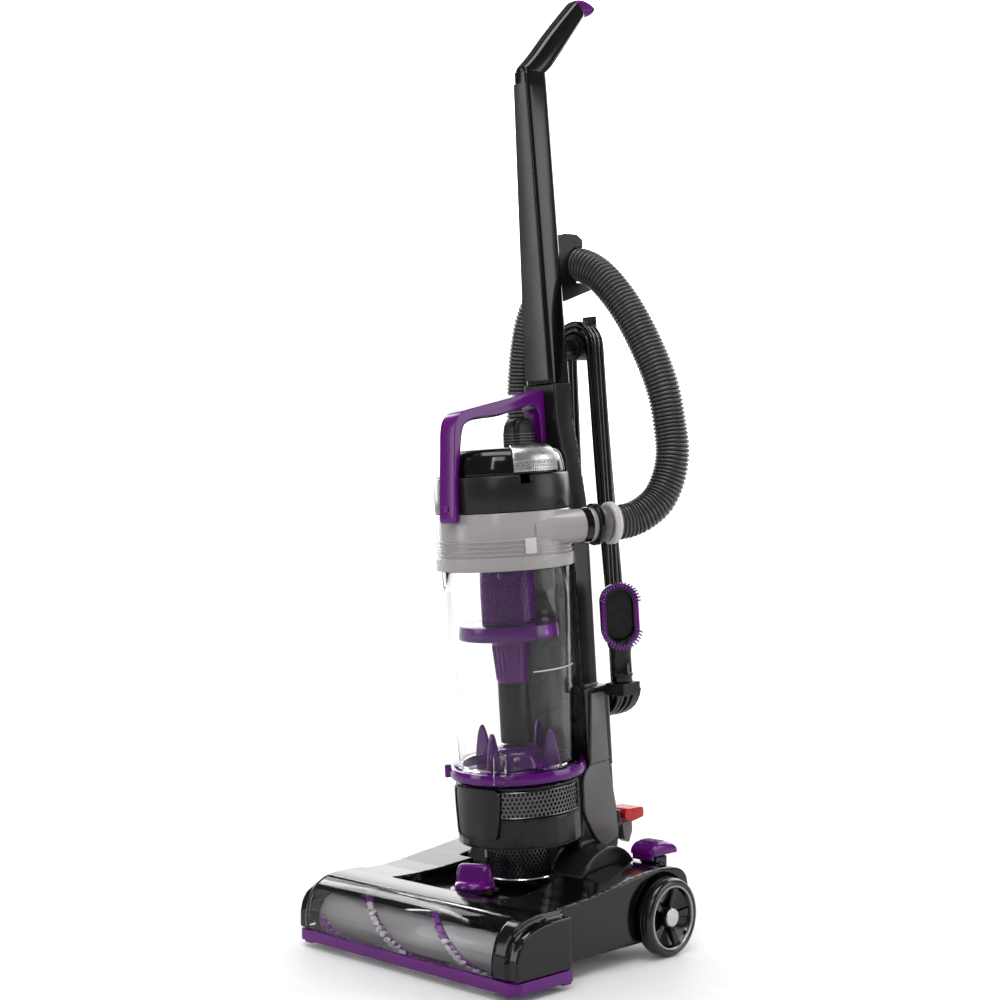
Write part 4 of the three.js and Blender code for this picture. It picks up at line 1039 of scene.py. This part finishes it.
def perforated(radius, thick, z0, z1, from_deg, to_deg, pitch, hole, sides=6, closed=False, taper=0.0):
    """A curved screen of round or six-sided holes in staggered rows: each cell is a frame round its hole."""
    verts, faces = [], []
    arc = math.radians(to_deg - from_deg)
    columns = max(3, round(arc * radius / pitch))
    rows = max(2, round((z1 - z0) / (pitch * 0.866)))
    step_a, step_z = arc / columns, (z1 - z0) / rows
    for row in range(rows):
        for column in range(columns):
            shift = 0.5 if row % 2 else 0.0
            if not closed and shift and column == columns - 1:
                continue
            a0 = math.radians(from_deg) + (column + 0.5 + shift) * step_a
            zc = z0 + (row + 0.5) * step_z
            start = len(verts)
            for depth in (0.0, thick):
                r = radius - depth - taper * (z1 - zc)
                for ring in (0, 1):
                    for k in range(sides * 2 if sides == 6 else sides):
                        n = sides * 2 if sides == 6 else sides
                        angle = 2 * math.pi * k / n + math.pi / 6
                        c, s = math.cos(angle), math.sin(angle)
                        if ring == 0:
                            du, dz = hole / 2 * c, hole / 2 * s
                        else:
                            reach = 0.5 / max(abs(c), abs(s * 1.0))
                            du, dz = (step_a * r - 0.02) * reach * c, (step_z - 0.02) * reach * s
                        a = a0 + du / r
                        verts.append((r * math.cos(a), TANK_V + r * math.sin(a), zc + dz))
            n = sides * 2 if sides == 6 else sides
            for k in range(n):
                m = (k + 1) % n
                faces.append((start + k, start + m, start + n + m, start + n + k))
                faces.append((start + 2 * n + m, start + 2 * n + k, start + 3 * n + k, start + 3 * n + m))
                faces.append((start + m, start + k, start + 2 * n + k, start + 2 * n + m))
                faces.append((start + n + k, start + n + m, start + 3 * n + m, start + 3 * n + k))
    return verts, faces


def cyclone():
    screen = perforated(31.2, 1.6, 372.5, 470, 0, 360, 4.4, 3.0, sides=8, closed=True)
    piece("cyclone_screen_mesh", [screen], BODY, "tank", ["cyclone_screen"], "purple_mesh",
          angle=40)
    core = [(27.6, 371.5), (31.2, 371.5), (31.2, 372), (29.2, 372.2), (29.2, 470), (31.4, 470.2),
            (31.4, 495.4),
            (27.6, 495.4)]
    piece("cyclone_screen_core", [turned(core)], BODY, "tank", [], "matt_black", angle=40)
    skirt = [(26, 357.4), (50, 356), (56.6, 354.6), (58, 355.4), (58.4, 358), (57, 370.4), (55.6, 371),
             (26, 371)]
    piece("cyclone_skirt", [turned(skirt, sides=128)], BODY, "tank", ["cyclone_cone"], "purple_clear",
          angle=40)
    cone = [(14.2, 303.6), (17.2, 303.6), (17.6, 304.6), (20.8, 346), (25.8, 356.6), (25.8, 371), (22, 371),
            (17, 350)]
    piece("cyclone_cone_shell", [turned(cone)], BODY, "tank", [], "purple", angle=40)
    ribs = [spin(moved(loft([[(r, y, w) for r, w in ((17.2, 306), (18.4, 306), (21.8, 346), (20.4, 346))]
                             for y in (-0.6, 0.6)]), Matrix.Translation((0, TANK_V, 0))), 18 * i)
                             for i in range(20)]
    piece("cyclone_cone_ribs", ribs, BODY, "tank", [], "purple", bevel=0.2)
    tube = [(14.2, 234.3), (17.2, 234.3), (17.5, 235), (17.5, 302.2), (17.2, 302.9), (14.2, 302.9)]
    piece("outlet_tube_wall", [turned(tube)], BODY, "tank", ["outlet_tube"], "matt_black", angle=40)


def cup_filter():
    rings = []
    for i in range(240):
        angle = 2 * math.pi * i / 240
        grow = 1.2 * math.sin(40 * angle)
        rings.append([((r + grow * k) * math.cos(angle), TANK_V + (r + grow * k) * math.sin(angle), w)
                      for r, w, k in ((20, 500, 0), (60.4, 500, 1), (60.4, 529.5, 1), (20, 529.5, 0))])
    piece("cup_filter_pleats", [loft(rings, closed=True)], BODY, "tank", ["cup_filter"], "foam", angle=50)


collar()
cup()
cup_door()
door_latch()
cyclone()
cup_filter()

# ---------------------------------------------------------------- motor housing and pedals


def motor_housing():
    """The housing, with fine raised lines that edge its collar above and below."""
    from_cad("motor_housing", "satin_grey", voxel=1.5, rounds=7)
    for name, w, radius, look in (("collar_line_low", 127.2, 72.25, "satin_grey"),
                                  ("collar_line_high", 159.6, 72.25, "gloss_black")):
        band = [(radius - 1.2, w - 0.9), (radius, w - 0.5), (radius, w + 0.5), (radius - 1.2, w + 0.9)]
        loop = turned(band, sides=128)
        ring = mesh_object(name, [loop], BODY)
        carve(ring, block((-100, 100), (TANK_V + 20, 60), (100, 200)))
        finished(ring, "body", [], look, angle=40)


def grilles():
    screen = perforated(72.0, 1.7, 162.2, 190.0, -157, 17, 5.0, 3.9)
    piece("exhaust_grille_mesh", [screen], BODY, "body", ["exhaust_grille"], "dark_metal",
          angle=40)
    inner = [(69.0, 161.2), (70.0, 161.2), (70.0, 190.9), (69.0, 190.9)]
    backing = mesh_object("exhaust_grille_backing", [turned(inner, sides=96)], BODY)
    carve(backing, block((-100, 100), (TANK_V + 22, 60), (100, 220)))
    finished(backing, "body", [], "matt_black", angle=40)
    frames = [turned([(70.2, w - 0.8), (72.1, w - 0.8), (72.5, w), (72.1, w + 0.8), (70.2, w + 0.8)],
                     sides=128)
              for w in (162.0, 190.2)]
    edge = mesh_object("exhaust_grille_frame", frames, BODY)
    carve(edge, block((-100, 100), (TANK_V + 22, 60), (100, 220)))
    finished(edge, "body", [], "dark_metal", angle=40)

    screen = perforated(44.0, 1.6, 88.4, 119.8, -177, -3, 4.6, 3.5)
    piece("neck_grille_mesh", [screen], BODY, "body", ["neck_grille"], "dark_metal",
          angle=40)
    inner = [(41.2, 87.2), (42.2, 87.2), (42.2, 120.8), (41.2, 120.8)]
    backing = mesh_object("neck_grille_backing", [turned(inner, sides=96)], BODY)
    carve(backing, block((-100, 100), (TANK_V + 2, 60), (60, 220)))
    finished(backing, "body", [], "matt_black", angle=40)
    lip = turned([(42.5, 85.2), (44.6, 85.2), (45.2, 86.2), (44.6, 87.4), (42.5, 87.4)], sides=128)
    ring = mesh_object("neck_lip", [lip], BODY)
    carve(ring, block((-100, 100), (TANK_V + 2, 60), (60, 220)))
    finished(ring, "body", [], "silver_plastic", angle=40)


def badge_plate():
    """A blank shield-shaped plate that follows the housing's round front, with a raised edge."""
    def shield(shrink):
        return rounded([(-34.6 + shrink, 195.2 - shrink), (34.6 - shrink, 195.2 - shrink),
                        (34.6 - shrink, 178),
                        (30.6 - shrink, 138.2 + shrink), (-30.6 + shrink, 138.2 + shrink),
                        (-34.6 + shrink, 178)], 7, 6)

    def bent(shrink, r0, r1):
        made = mesh_object("bent", [turned([(r0, 130), (r1, 130), (r1, 200), (r0, 200)], sides=180)], BODY)
        tool = mesh_object("tool", [along(shield(shrink), -160, -100)], BODY)
        apply(made, "BOOLEAN", operation="INTERSECT", object=tool, solver="EXACT")
        bpy.data.objects.remove(tool)
        return made

    rim = bent(0, 72.6, 77.2)
    field = bent(2.6, 76.0, 80)
    apply(rim, "BOOLEAN", operation="DIFFERENCE", object=field, solver="EXACT")
    bpy.data.objects.remove(field)
    rim.name = "badge_plate_shield"
    finished(rim, "body", ["badge_plate"], "gloss_black", bevel=0.4, angle=40)


def side_panels():
    outline = smooth([(-5, 203), (-17.5, 193), (-19.4, 170), (-18.6, 150), (-4, 122), (6, 111), (14, 108.2)],
                     5)
    outline += rounded([(34, 108), (34, 150), (26, 195.5), (24, 284), (-2, 284)], 5)[0:-4]
    for side in ("left", "right"):
        name = "side_panel_" + side
        made = mesh_object(name + "_moulding", [across(outline, 62.3, 65.3)], BODY)
        carve(made, block((63.6, 70), (-40, 60), (203.6, 205.2)))
        if side == "left":
            made.data.transform(Matrix.Diagonal((-1, 1, 1, 1)))
            made.data.flip_normals()
        finished(made, "body", [name], "light_grey", bevel=0.9, angle=40)


def power_pedal():
    side = rounded([(48.2, 130.2), (48.2, 138.6), (54, 141.6), (81.6, 138.8), (81.6, 127.4), (60, 125.2)], 3)
    made = mesh_object("power_pedal_pad", [across(side, 36.2, 65.8)], BODY)
    carve(made, block((39, 63), (56, 79), (120, 134)))
    finished(made, "power", ["power_pedal"], "red", bevel=1.2, angle=40)
    grips = [moved(block((-13, 13), (-0.7, 0.7), (-0.6, 0.6)),
                   Matrix.Translation((51, v, 140.9 - (v - 56) * 0.1)))
             for v in (58, 62, 66, 70, 74)]
    piece("power_pedal_grips", grips, BODY, "power", [], "red", bevel=0.4)
    strut = rounded([(52, 124.8), (70, 124.8), (70, 112), (63, 99), (55, 104)], 1.5)
    piece("power_pedal_strut", [across(strut, 45, 57)], BODY, "power", [], "light_grey",
          bevel=0.8)


def inner_works():
    """The pieces inside, which show when the body reclines or the tank is off."""
    from_cad("motor_stator", "steel", bevel=0.8)
    from_cad("motor_rotor", "steel", bevel=0.4)
    from_cad("exhaust_filter", "foam", bevel=2.0)
    from_cad("chassis", "matt_black", bevel=0.6)
    from_cad("drive_belt", "belt_rubber", bevel=0.3)
    from_cad("brush_bearing_left", "matt_black", bevel=1.2)
    from_cad("brush_bearing_right", "matt_black", bevel=1.2)
    from_cad("height_carriage", "matt_black", bevel=0.5)
    for side in ("left", "right"):
        from_cad("wheel_axle_" + side, "steel", bevel=0.4)
        from_cad("front_roller_" + side, "matt_black", bevel=0.8)


motor_housing()
grilles()
badge_plate()
side_panels()
power_pedal()
inner_works()

# ---------------------------------------------------------------- foot

NOZZLE_SIDE = [(-172.4, 78), (-205, 78.6), (-228, 76.2), (-242, 69.2), (-251, 58), (-255.4, 44), (-256.4, 30),
               (-255, 19.7)]
CAP_SIDE = [(-172.4, 73), (-200, 72.4), (-224, 69), (-240, 62), (-249, 53), (-253, 42), (-254, 30),
            (-253.5, 19.7)]
ARM_SIDE = [(-120, 81), (-75, 87), (-20, 94), (14, 94), (34, 89.5), (45, 80), (48, 66)]
NOZZLE_ROOM = [(-175.6, 10), (-175.6, 64.8), (-196, 64.8), (-206, 74.5), (-226, 72.5), (-239.5, 66),
               (-248, 56.5),
               (-252.5, 44), (-253.5, 30), (-252, 10)]


def nozzle_cover():
    """The deck, the nozzle with its lower end caps and the two side arms, hollow underneath."""
    nozzle = smooth(NOZZLE_SIDE, 6)
    caps = smooth(CAP_SIDE, 6)
    arm = smooth(ARM_SIDE, 6) + [Vector((48, 36)), Vector((38, 20.4)), Vector((-120, 20.4))]
    deck = [(-176, 20.4), (-176, 78), (-150, 78.6), (-120, 81), (-75.6, 87), (-75.6, 20.4)]
    made = mesh_object("nozzle_cover_shell", [across([(-172.4, 19.7)] + nozzle, -158, 158)], FOOT)
    fuse(made, across([(-172.4, 19.7)] + caps, -171.4, 171.4), across(deck, -150, 150),
         across(arm, 94.6, 149.9),
         mirrored(across(arm, 94.6, 149.9)), place=FOOT)
    post = block((100, 122), (24, 44), (84, 99.8))
    ribs = [block((x - 1, x + 1), (20, 48), (84, 97.8)) for x in (104, 111, 118)]
    fuse(made, post, *ribs, place=FOOT)
    cap_room = [(-175.6, 10), (-175.6, 64.8), (-196, 64.8), (-222, 65.5), (-238, 59), (-246, 51),
                (-249.6, 42),
                (-250.6, 30), (-250, 10)]
    side_rooms = [block((95, 146), (-177, -78.5), (10, 74)), block((97.5, 141), (-130, 36), (10, 76)),
                  on_x(turned([(0, 90), (24.4, 90), (24.4, 98.5), (0, 98.5)], (0, 0), 48), -20, 62),
                  on_x(turned([(0, 120), (4.3, 120), (4.3, 146), (0, 146)], (0, 0), 32)),
                  on_x(turned([(0, 144.4), (46.2, 144.4), (46.2, 152), (0, 152)], (0, 0), 72))]
    carve(made, across(NOZZLE_ROOM, -155, 155), across(cap_room, -168.3, 168.3),
          block((-147, 147), (-177, -78.5), (10, 64.8)),
          on_x(turned([(0, -94.3), (54.3, -94.3), (54.3, 94.3), (0, 94.3)], (0, 0), 96), -20, 62),
          slab([(-88, -188), (88, -188), (70, -70), (-70, -70)], 68, 130),
          across([(-270, 19), (-270, 95), (-227.7, 95), (-227.7, 60), (-205, 60), (-205, 19)], -153, 139),
          turned([(0, 60), (9.4, 60), (9.4, 70), (0, 70)], (0, -144), 48),
          *side_rooms, *[mirrored(room) for room in side_rooms], place=FOOT)
    softened(made, 1.5, 4)
    finished(made, "foot", ["nozzle_cover"], "gloss_black", angle=50)


nozzle_cover()


def base_strip():
    def band(half, front, radius, z0, z1):
        outline = [(half, -172.4)]
        outline += [(half - radius + radius * math.cos(a), front + radius + radius * math.sin(a))
                    for a in [-math.pi / 2 * i / 10 for i in range(11)]]
        outline += [(-half + radius + radius * math.cos(a), front + radius + radius * math.sin(a))
                    for a in [-math.pi / 2 - math.pi / 2 * i / 10 for i in range(11)]]
        outline += [(-half, -172.4)]
        return slab(outline, z0, z1)

    made = mesh_object("base_strip_band", [band(172.4, -256.9, 12, 7.5, 19.2)], FOOT)
    carve(made, band(166.4, -249.4, 6, 0, 30), block((-150, 150), (-200, -170), (0, 30)), place=FOOT)
    for x in (-166, 166):
        fuse(made, block((x - 5.8, x + 5.8), (-186, -174), (5.2, 8.4)), place=FOOT)
    for x in (-154, 154):
        fuse(made, block((x - 5.8, x + 5.8), (-255.6, -250), (5.2, 8.4)), place=FOOT)
    finished(made, "foot", ["base_strip"], "purple", bevel=0.9, angle=40)


base_strip()


def brush_window():
    outer = smooth([(-228, 76), (-242, 69), (-251, 58), (-255.5, 44), (-256.5, 30), (-255, 20)], 8)
    inner = [Vector((y + 2.2, z - (1.3 if z > 25 else 0))) for y, z in outer]
    inner[0] = Vector((-227.9, 73.8))
    window = across(outer + list(reversed(inner)), -152.6, 138.6)
    piece("brush_window_pane", [window], FOOT, "foot", ["brush_window"], "clear", bevel=0.35, angle=30)
    top = across([(-229.6, 75.2), (-228.2, 77.4), (-226.2, 77.9), (-226.0, 76.6), (-227.8, 75.4)], -152, 138)
    piece("brush_window_ridge", [top], FOOT, "foot", [], "clear", bevel=0.3, angle=40)


def brush():
    drum = [(0, BRUSH["left"]), (20.6, BRUSH["left"]), (22, BRUSH["left"] + 1.4), (22, 122.6), (20.6, 124),
            (0, 124)]
    pulley = [(0, 124), (14, 124.2), (14.6, 125), (13.9, 126), (13.9, 136), (14.6, 136.6), (14, 137),
              (0, 137)]
    at = (BRUSH["y"], BRUSH["z"])
    piece("brush_drum", [on_x(turned(drum, (0, 0), 72), *at)], FOOT, "brush", ["brush_roll"], "drum_grey",
          angle=40)
    piece("brush_pulley", [on_x(turned(pulley, (0, 0), 48), *at)], FOOT, "brush", [], "matt_black",
          angle=40)
    shaft = [(0, -162), (3.6, -162), (4, -161.4), (4, 150.4), (3.6, 151), (0, 151)]
    piece("brush_shaft", [on_x(turned(shaft, (0, 0), 32), *at)], FOOT, "brush", [], "steel")

    rng = random.Random(11)
    for name, start in (("a", 0.0), ("b", math.pi)):
        tufts, pale = [], []
        count = 44
        for i in range(count):
            t = (i + 0.5) / count
            angle = start + 2 * math.pi * 1.25 * t
            x = BRUSH["left"] + 8 + 260 * t
            for k in range(3):
                a = angle + rng.uniform(-0.05, 0.05)
                bx = x + (k - 1) * 1.9
                reach = 28.0 + rng.uniform(-1.0, 0.3)
                rings = []
                for r, w in ((22.0, 1.9), (25.0, 2.3), (reach, 2.7)):
                    centre = Vector((bx + rng.uniform(-0.2, 0.2), r * math.cos(a), r * math.sin(a)))
                    tangent = Vector((0, -math.sin(a), math.cos(a)))
                    rings.append([centre + Vector((w * math.cos(b), 0,
                                                   0)) + tangent * (w * math.sin(b)) + Vector((0, *at))
                                  for b in [math.pi * q / 3 for q in range(6)]])
                (pale if i // 11 % 2 else tufts).append(loft(rings))
        path = [Vector((BRUSH["left"] + 6 + 264 * i / 96,
                        22.3 * math.cos(start + 2 * math.pi * 1.25 * i / 96) + at[0],
                        22.3 * math.sin(start + 2 * math.pi * 1.25 * i / 96) + at[1])) for i in range(97)]
        base = swept(path, circle(3.2, 10), Vector((0, 0.3, 1)))
        piece("bristle_tufts_" + name, tufts, FOOT, "brush", ["bristle_strip_" + name], "bristle", angle=60)
        piece("bristle_pale_tufts_" + name, pale, FOOT, "brush", [], "pale_bristle", angle=60)
        piece("bristle_seat_" + name, [base], FOOT, "brush", [], "purple", angle=60)


def wheels():
    inner, outer, radius = WHEEL["inner"], WHEEL["outer"], WHEEL["radius"]
    tyre = [(33, inner + 0.2), (radius - 5, inner + 0.2), (radius - 1.6, inner + 1.6), (radius, inner + 5),
            (radius, inner + 8.2), (radius - 0.7, inner + 8.7), (radius - 0.7, inner + 9.4),
            (radius, inner + 9.9),
            (radius, outer - 8.2), (radius - 0.7, outer - 7.7), (radius - 0.7, outer - 7),
            (radius, outer - 6.5),
            (radius, outer - 5), (radius - 1.2, outer - 1.8), (radius - 4, outer - 0.2), (36.4, outer - 0.1),
            (35.4, outer - 0.8), (35.4, outer - 4), (33, outer - 4)]
    ring = [(32.8, outer - 6), (35.2, outer - 6), (35.3, outer - 1.2), (34.6, outer - 0.5),
            (33.4, outer - 0.5),
            (32.8, outer - 1.2)]
    dish = [(9, outer - 12), (12, outer - 11.4), (26, outer - 8), (31, outer - 6.2), (32.6, outer - 3.2),
            (32.6, inner + 1.4),
            (30, inner + 1.4), (30, outer - 9.4), (12, outer - 13.4), (4.4, outer - 14)]
    hub = [(4.4, inner + 1.2), (10, inner + 1.2), (11.4, outer - 11), (11.2, outer - 4.4),
           (10.2, outer - 3.4),
           (4.4, outer - 3.4)]
    cap = [(0, outer - 3.3), (9.8, outer - 3.3), (10.2, outer - 2.6), (9.4, outer - 1.5), (6, outer - 1.0),
           (0, outer - 0.9)]
    spoke = loft([[(r, y * s, z) for y,
                   z in ((-1.7, outer - 9.6 + d), (1.7, outer - 9.6 + d), (1.1, outer - 5.4 + d),
                                              (-1.1, outer - 5.4 + d))] for r, s,
                                              d in ((9.6, 2.2, -1.5), (20, 2.6, -0.2), (32, 4.2, 1.6))])
    for side, flip in (("right", lambda made: made), ("left", mirrored)):
        body = "wheel_" + side
        piece("tyre_tread_" + side, [flip(on_x(turned(tyre, (0, 0), 128)))], FOOT, body, ["tyre_" + side],
              "tyre_rubber", angle=35)
        piece("rim_ring_" + side, [flip(on_x(turned(ring, (0, 0), 128)))], FOOT, body, ["wheel_rim_" + side],
              "rim_metal", angle=35)
        parts = [turned(dish, (0, 0), 96), turned(hub, (0, 0), 64)]
        piece("rim_dish_" + side, [flip(on_x(p)) for p in parts], FOOT, body, [], "gloss_black",
              angle=35)
        spokes = [flip(on_x(spin(spoke, 72 * i + 20, (0, 0)))) for i in range(5)]
        piece("rim_spokes_" + side, spokes, FOOT, body, [], "gloss_black", bevel=0.5,
              angle=40)
        piece("hub_cap_" + side, [flip(on_x(turned(cap, (0, 0), 64)))], FOOT, body, [], "steel",
              angle=35)


KNOB = (0, -144)


def height_knob():
    dial = [(9, 68.6), (26.4, 68.6), (27.6, 69.4), (27.8, 71), (26.8, 72.4), (24.6, 72.8), (9, 72.8)]
    piece("height_dial", [turned(dial, KNOB, 96)], FOOT, "knob", [], "gloss_black", angle=35)
    marks = [spin(moved(block((-0.5, 0.5), (21.6, 24.2 if i % 2 else 25.2), (72.6, 73.0)),
                        Matrix.Translation((0, -144, 0))),
                  30 * i, KNOB) for i in range(12)]
    piece("height_dial_marks", marks, FOOT, "knob", [], "silver_plastic")
    rings = []
    for z, grow in ((72.9, 22.2), (74, 23.0), (76, 22.8), (79, 21), (81.5, 17.5), (82.4, 13)):
        ring = []
        for i in range(96):
            a = 2 * math.pi * i / 96
            ring.append((KNOB[0] + grow * math.cos(a), KNOB[1] + grow * math.sin(a), z))
        rings.append(ring)
    piece("height_knob_grip", [loft(rings)], FOOT, "knob", ["height_knob"], "purple", angle=45)
    bar = [[(KNOB[0] + x, KNOB[1] + y, z) for x, y in superellipse(a, b, 3.6, 48)]
           for z, a, b in ((75, 9.4, 21.6), (84, 8.4, 20.8), (92, 7.4, 19.6), (96.6, 6.4, 18.2),
                           (98.4, 4.8, 16.2))]
    turn = Matrix.Translation((*KNOB, 0)) @ Matrix.Rotation(math.radians(-62), 4,
                                                            "Z") @ Matrix.Translation((-KNOB[0], -KNOB[1], 0))
    piece("height_knob_bar", [moved(loft(bar), turn)], FOOT, "knob", [], "purple", angle=45)
    stem = [(5.4, 49.2), (9, 49.2), (9, 68.6), (5.4, 68.6)]
    piece("height_knob_stem", [turned(stem, KNOB, 48)], FOOT, "knob", [], "matt_black")


def release_pedal():
    """A domed treadle on the right arm."""
    top = smooth([(12.2, 103.5), (13, 109), (18, 114.6), (26, 116.8), (38, 116.4), (50, 113), (55.8, 107.6),
                  (55.8, 102.4)], 5)
    rings = []
    for x, drop, shrink in ((93.2, 5.4, 1.6), (94.2, 2.6, 0.6), (97, 0.9, 0.1), (103, 0.1, 0), (118, 0.1, 0),
                            (124, 0.9, 0.1),
                            (126.8, 2.6, 0.6), (127.8, 5.4, 1.6)):
        ring = []
        for y, z in top:
            t = max(0, (z - 102.4) / 14.4)
            ring.append((x, 34 + (y - 34) * (1 - shrink / 22), z - drop * t))
        ring.append((x, 55.6 - shrink, 102.2))
        ring.append((x, 12.4 + shrink, 102.2))
        rings.append(ring)
    made = mesh_object("release_pedal_treadle", [loft(rings)], FOOT)
    carve(made, block((97, 124), (18, 52), (90, 104.5)), place=FOOT)
    finished(made, "release", ["release_pedal"], "purple", bevel=0.7, angle=40)
    grips = [moved(block((-11, 11), (-0.6, 0.6), (-0.5, 0.5)),
                   Matrix.Translation((110.5, y, 116.9 - abs(y - 28) ** 1.6 * 0.018)))
             for y in (22, 26, 30, 34, 38)]
    piece("release_pedal_grips", grips, FOOT, "release", [], "purple", bevel=0.3)
    skirt = block((96.2, 124.8), (12.8, 16.8), (96.2, 103))
    piece("release_pedal_skirt", [skirt], FOOT, "release", [], "purple", bevel=0.8)


brush_window()
brush()
wheels()
height_knob()
release_pedal()
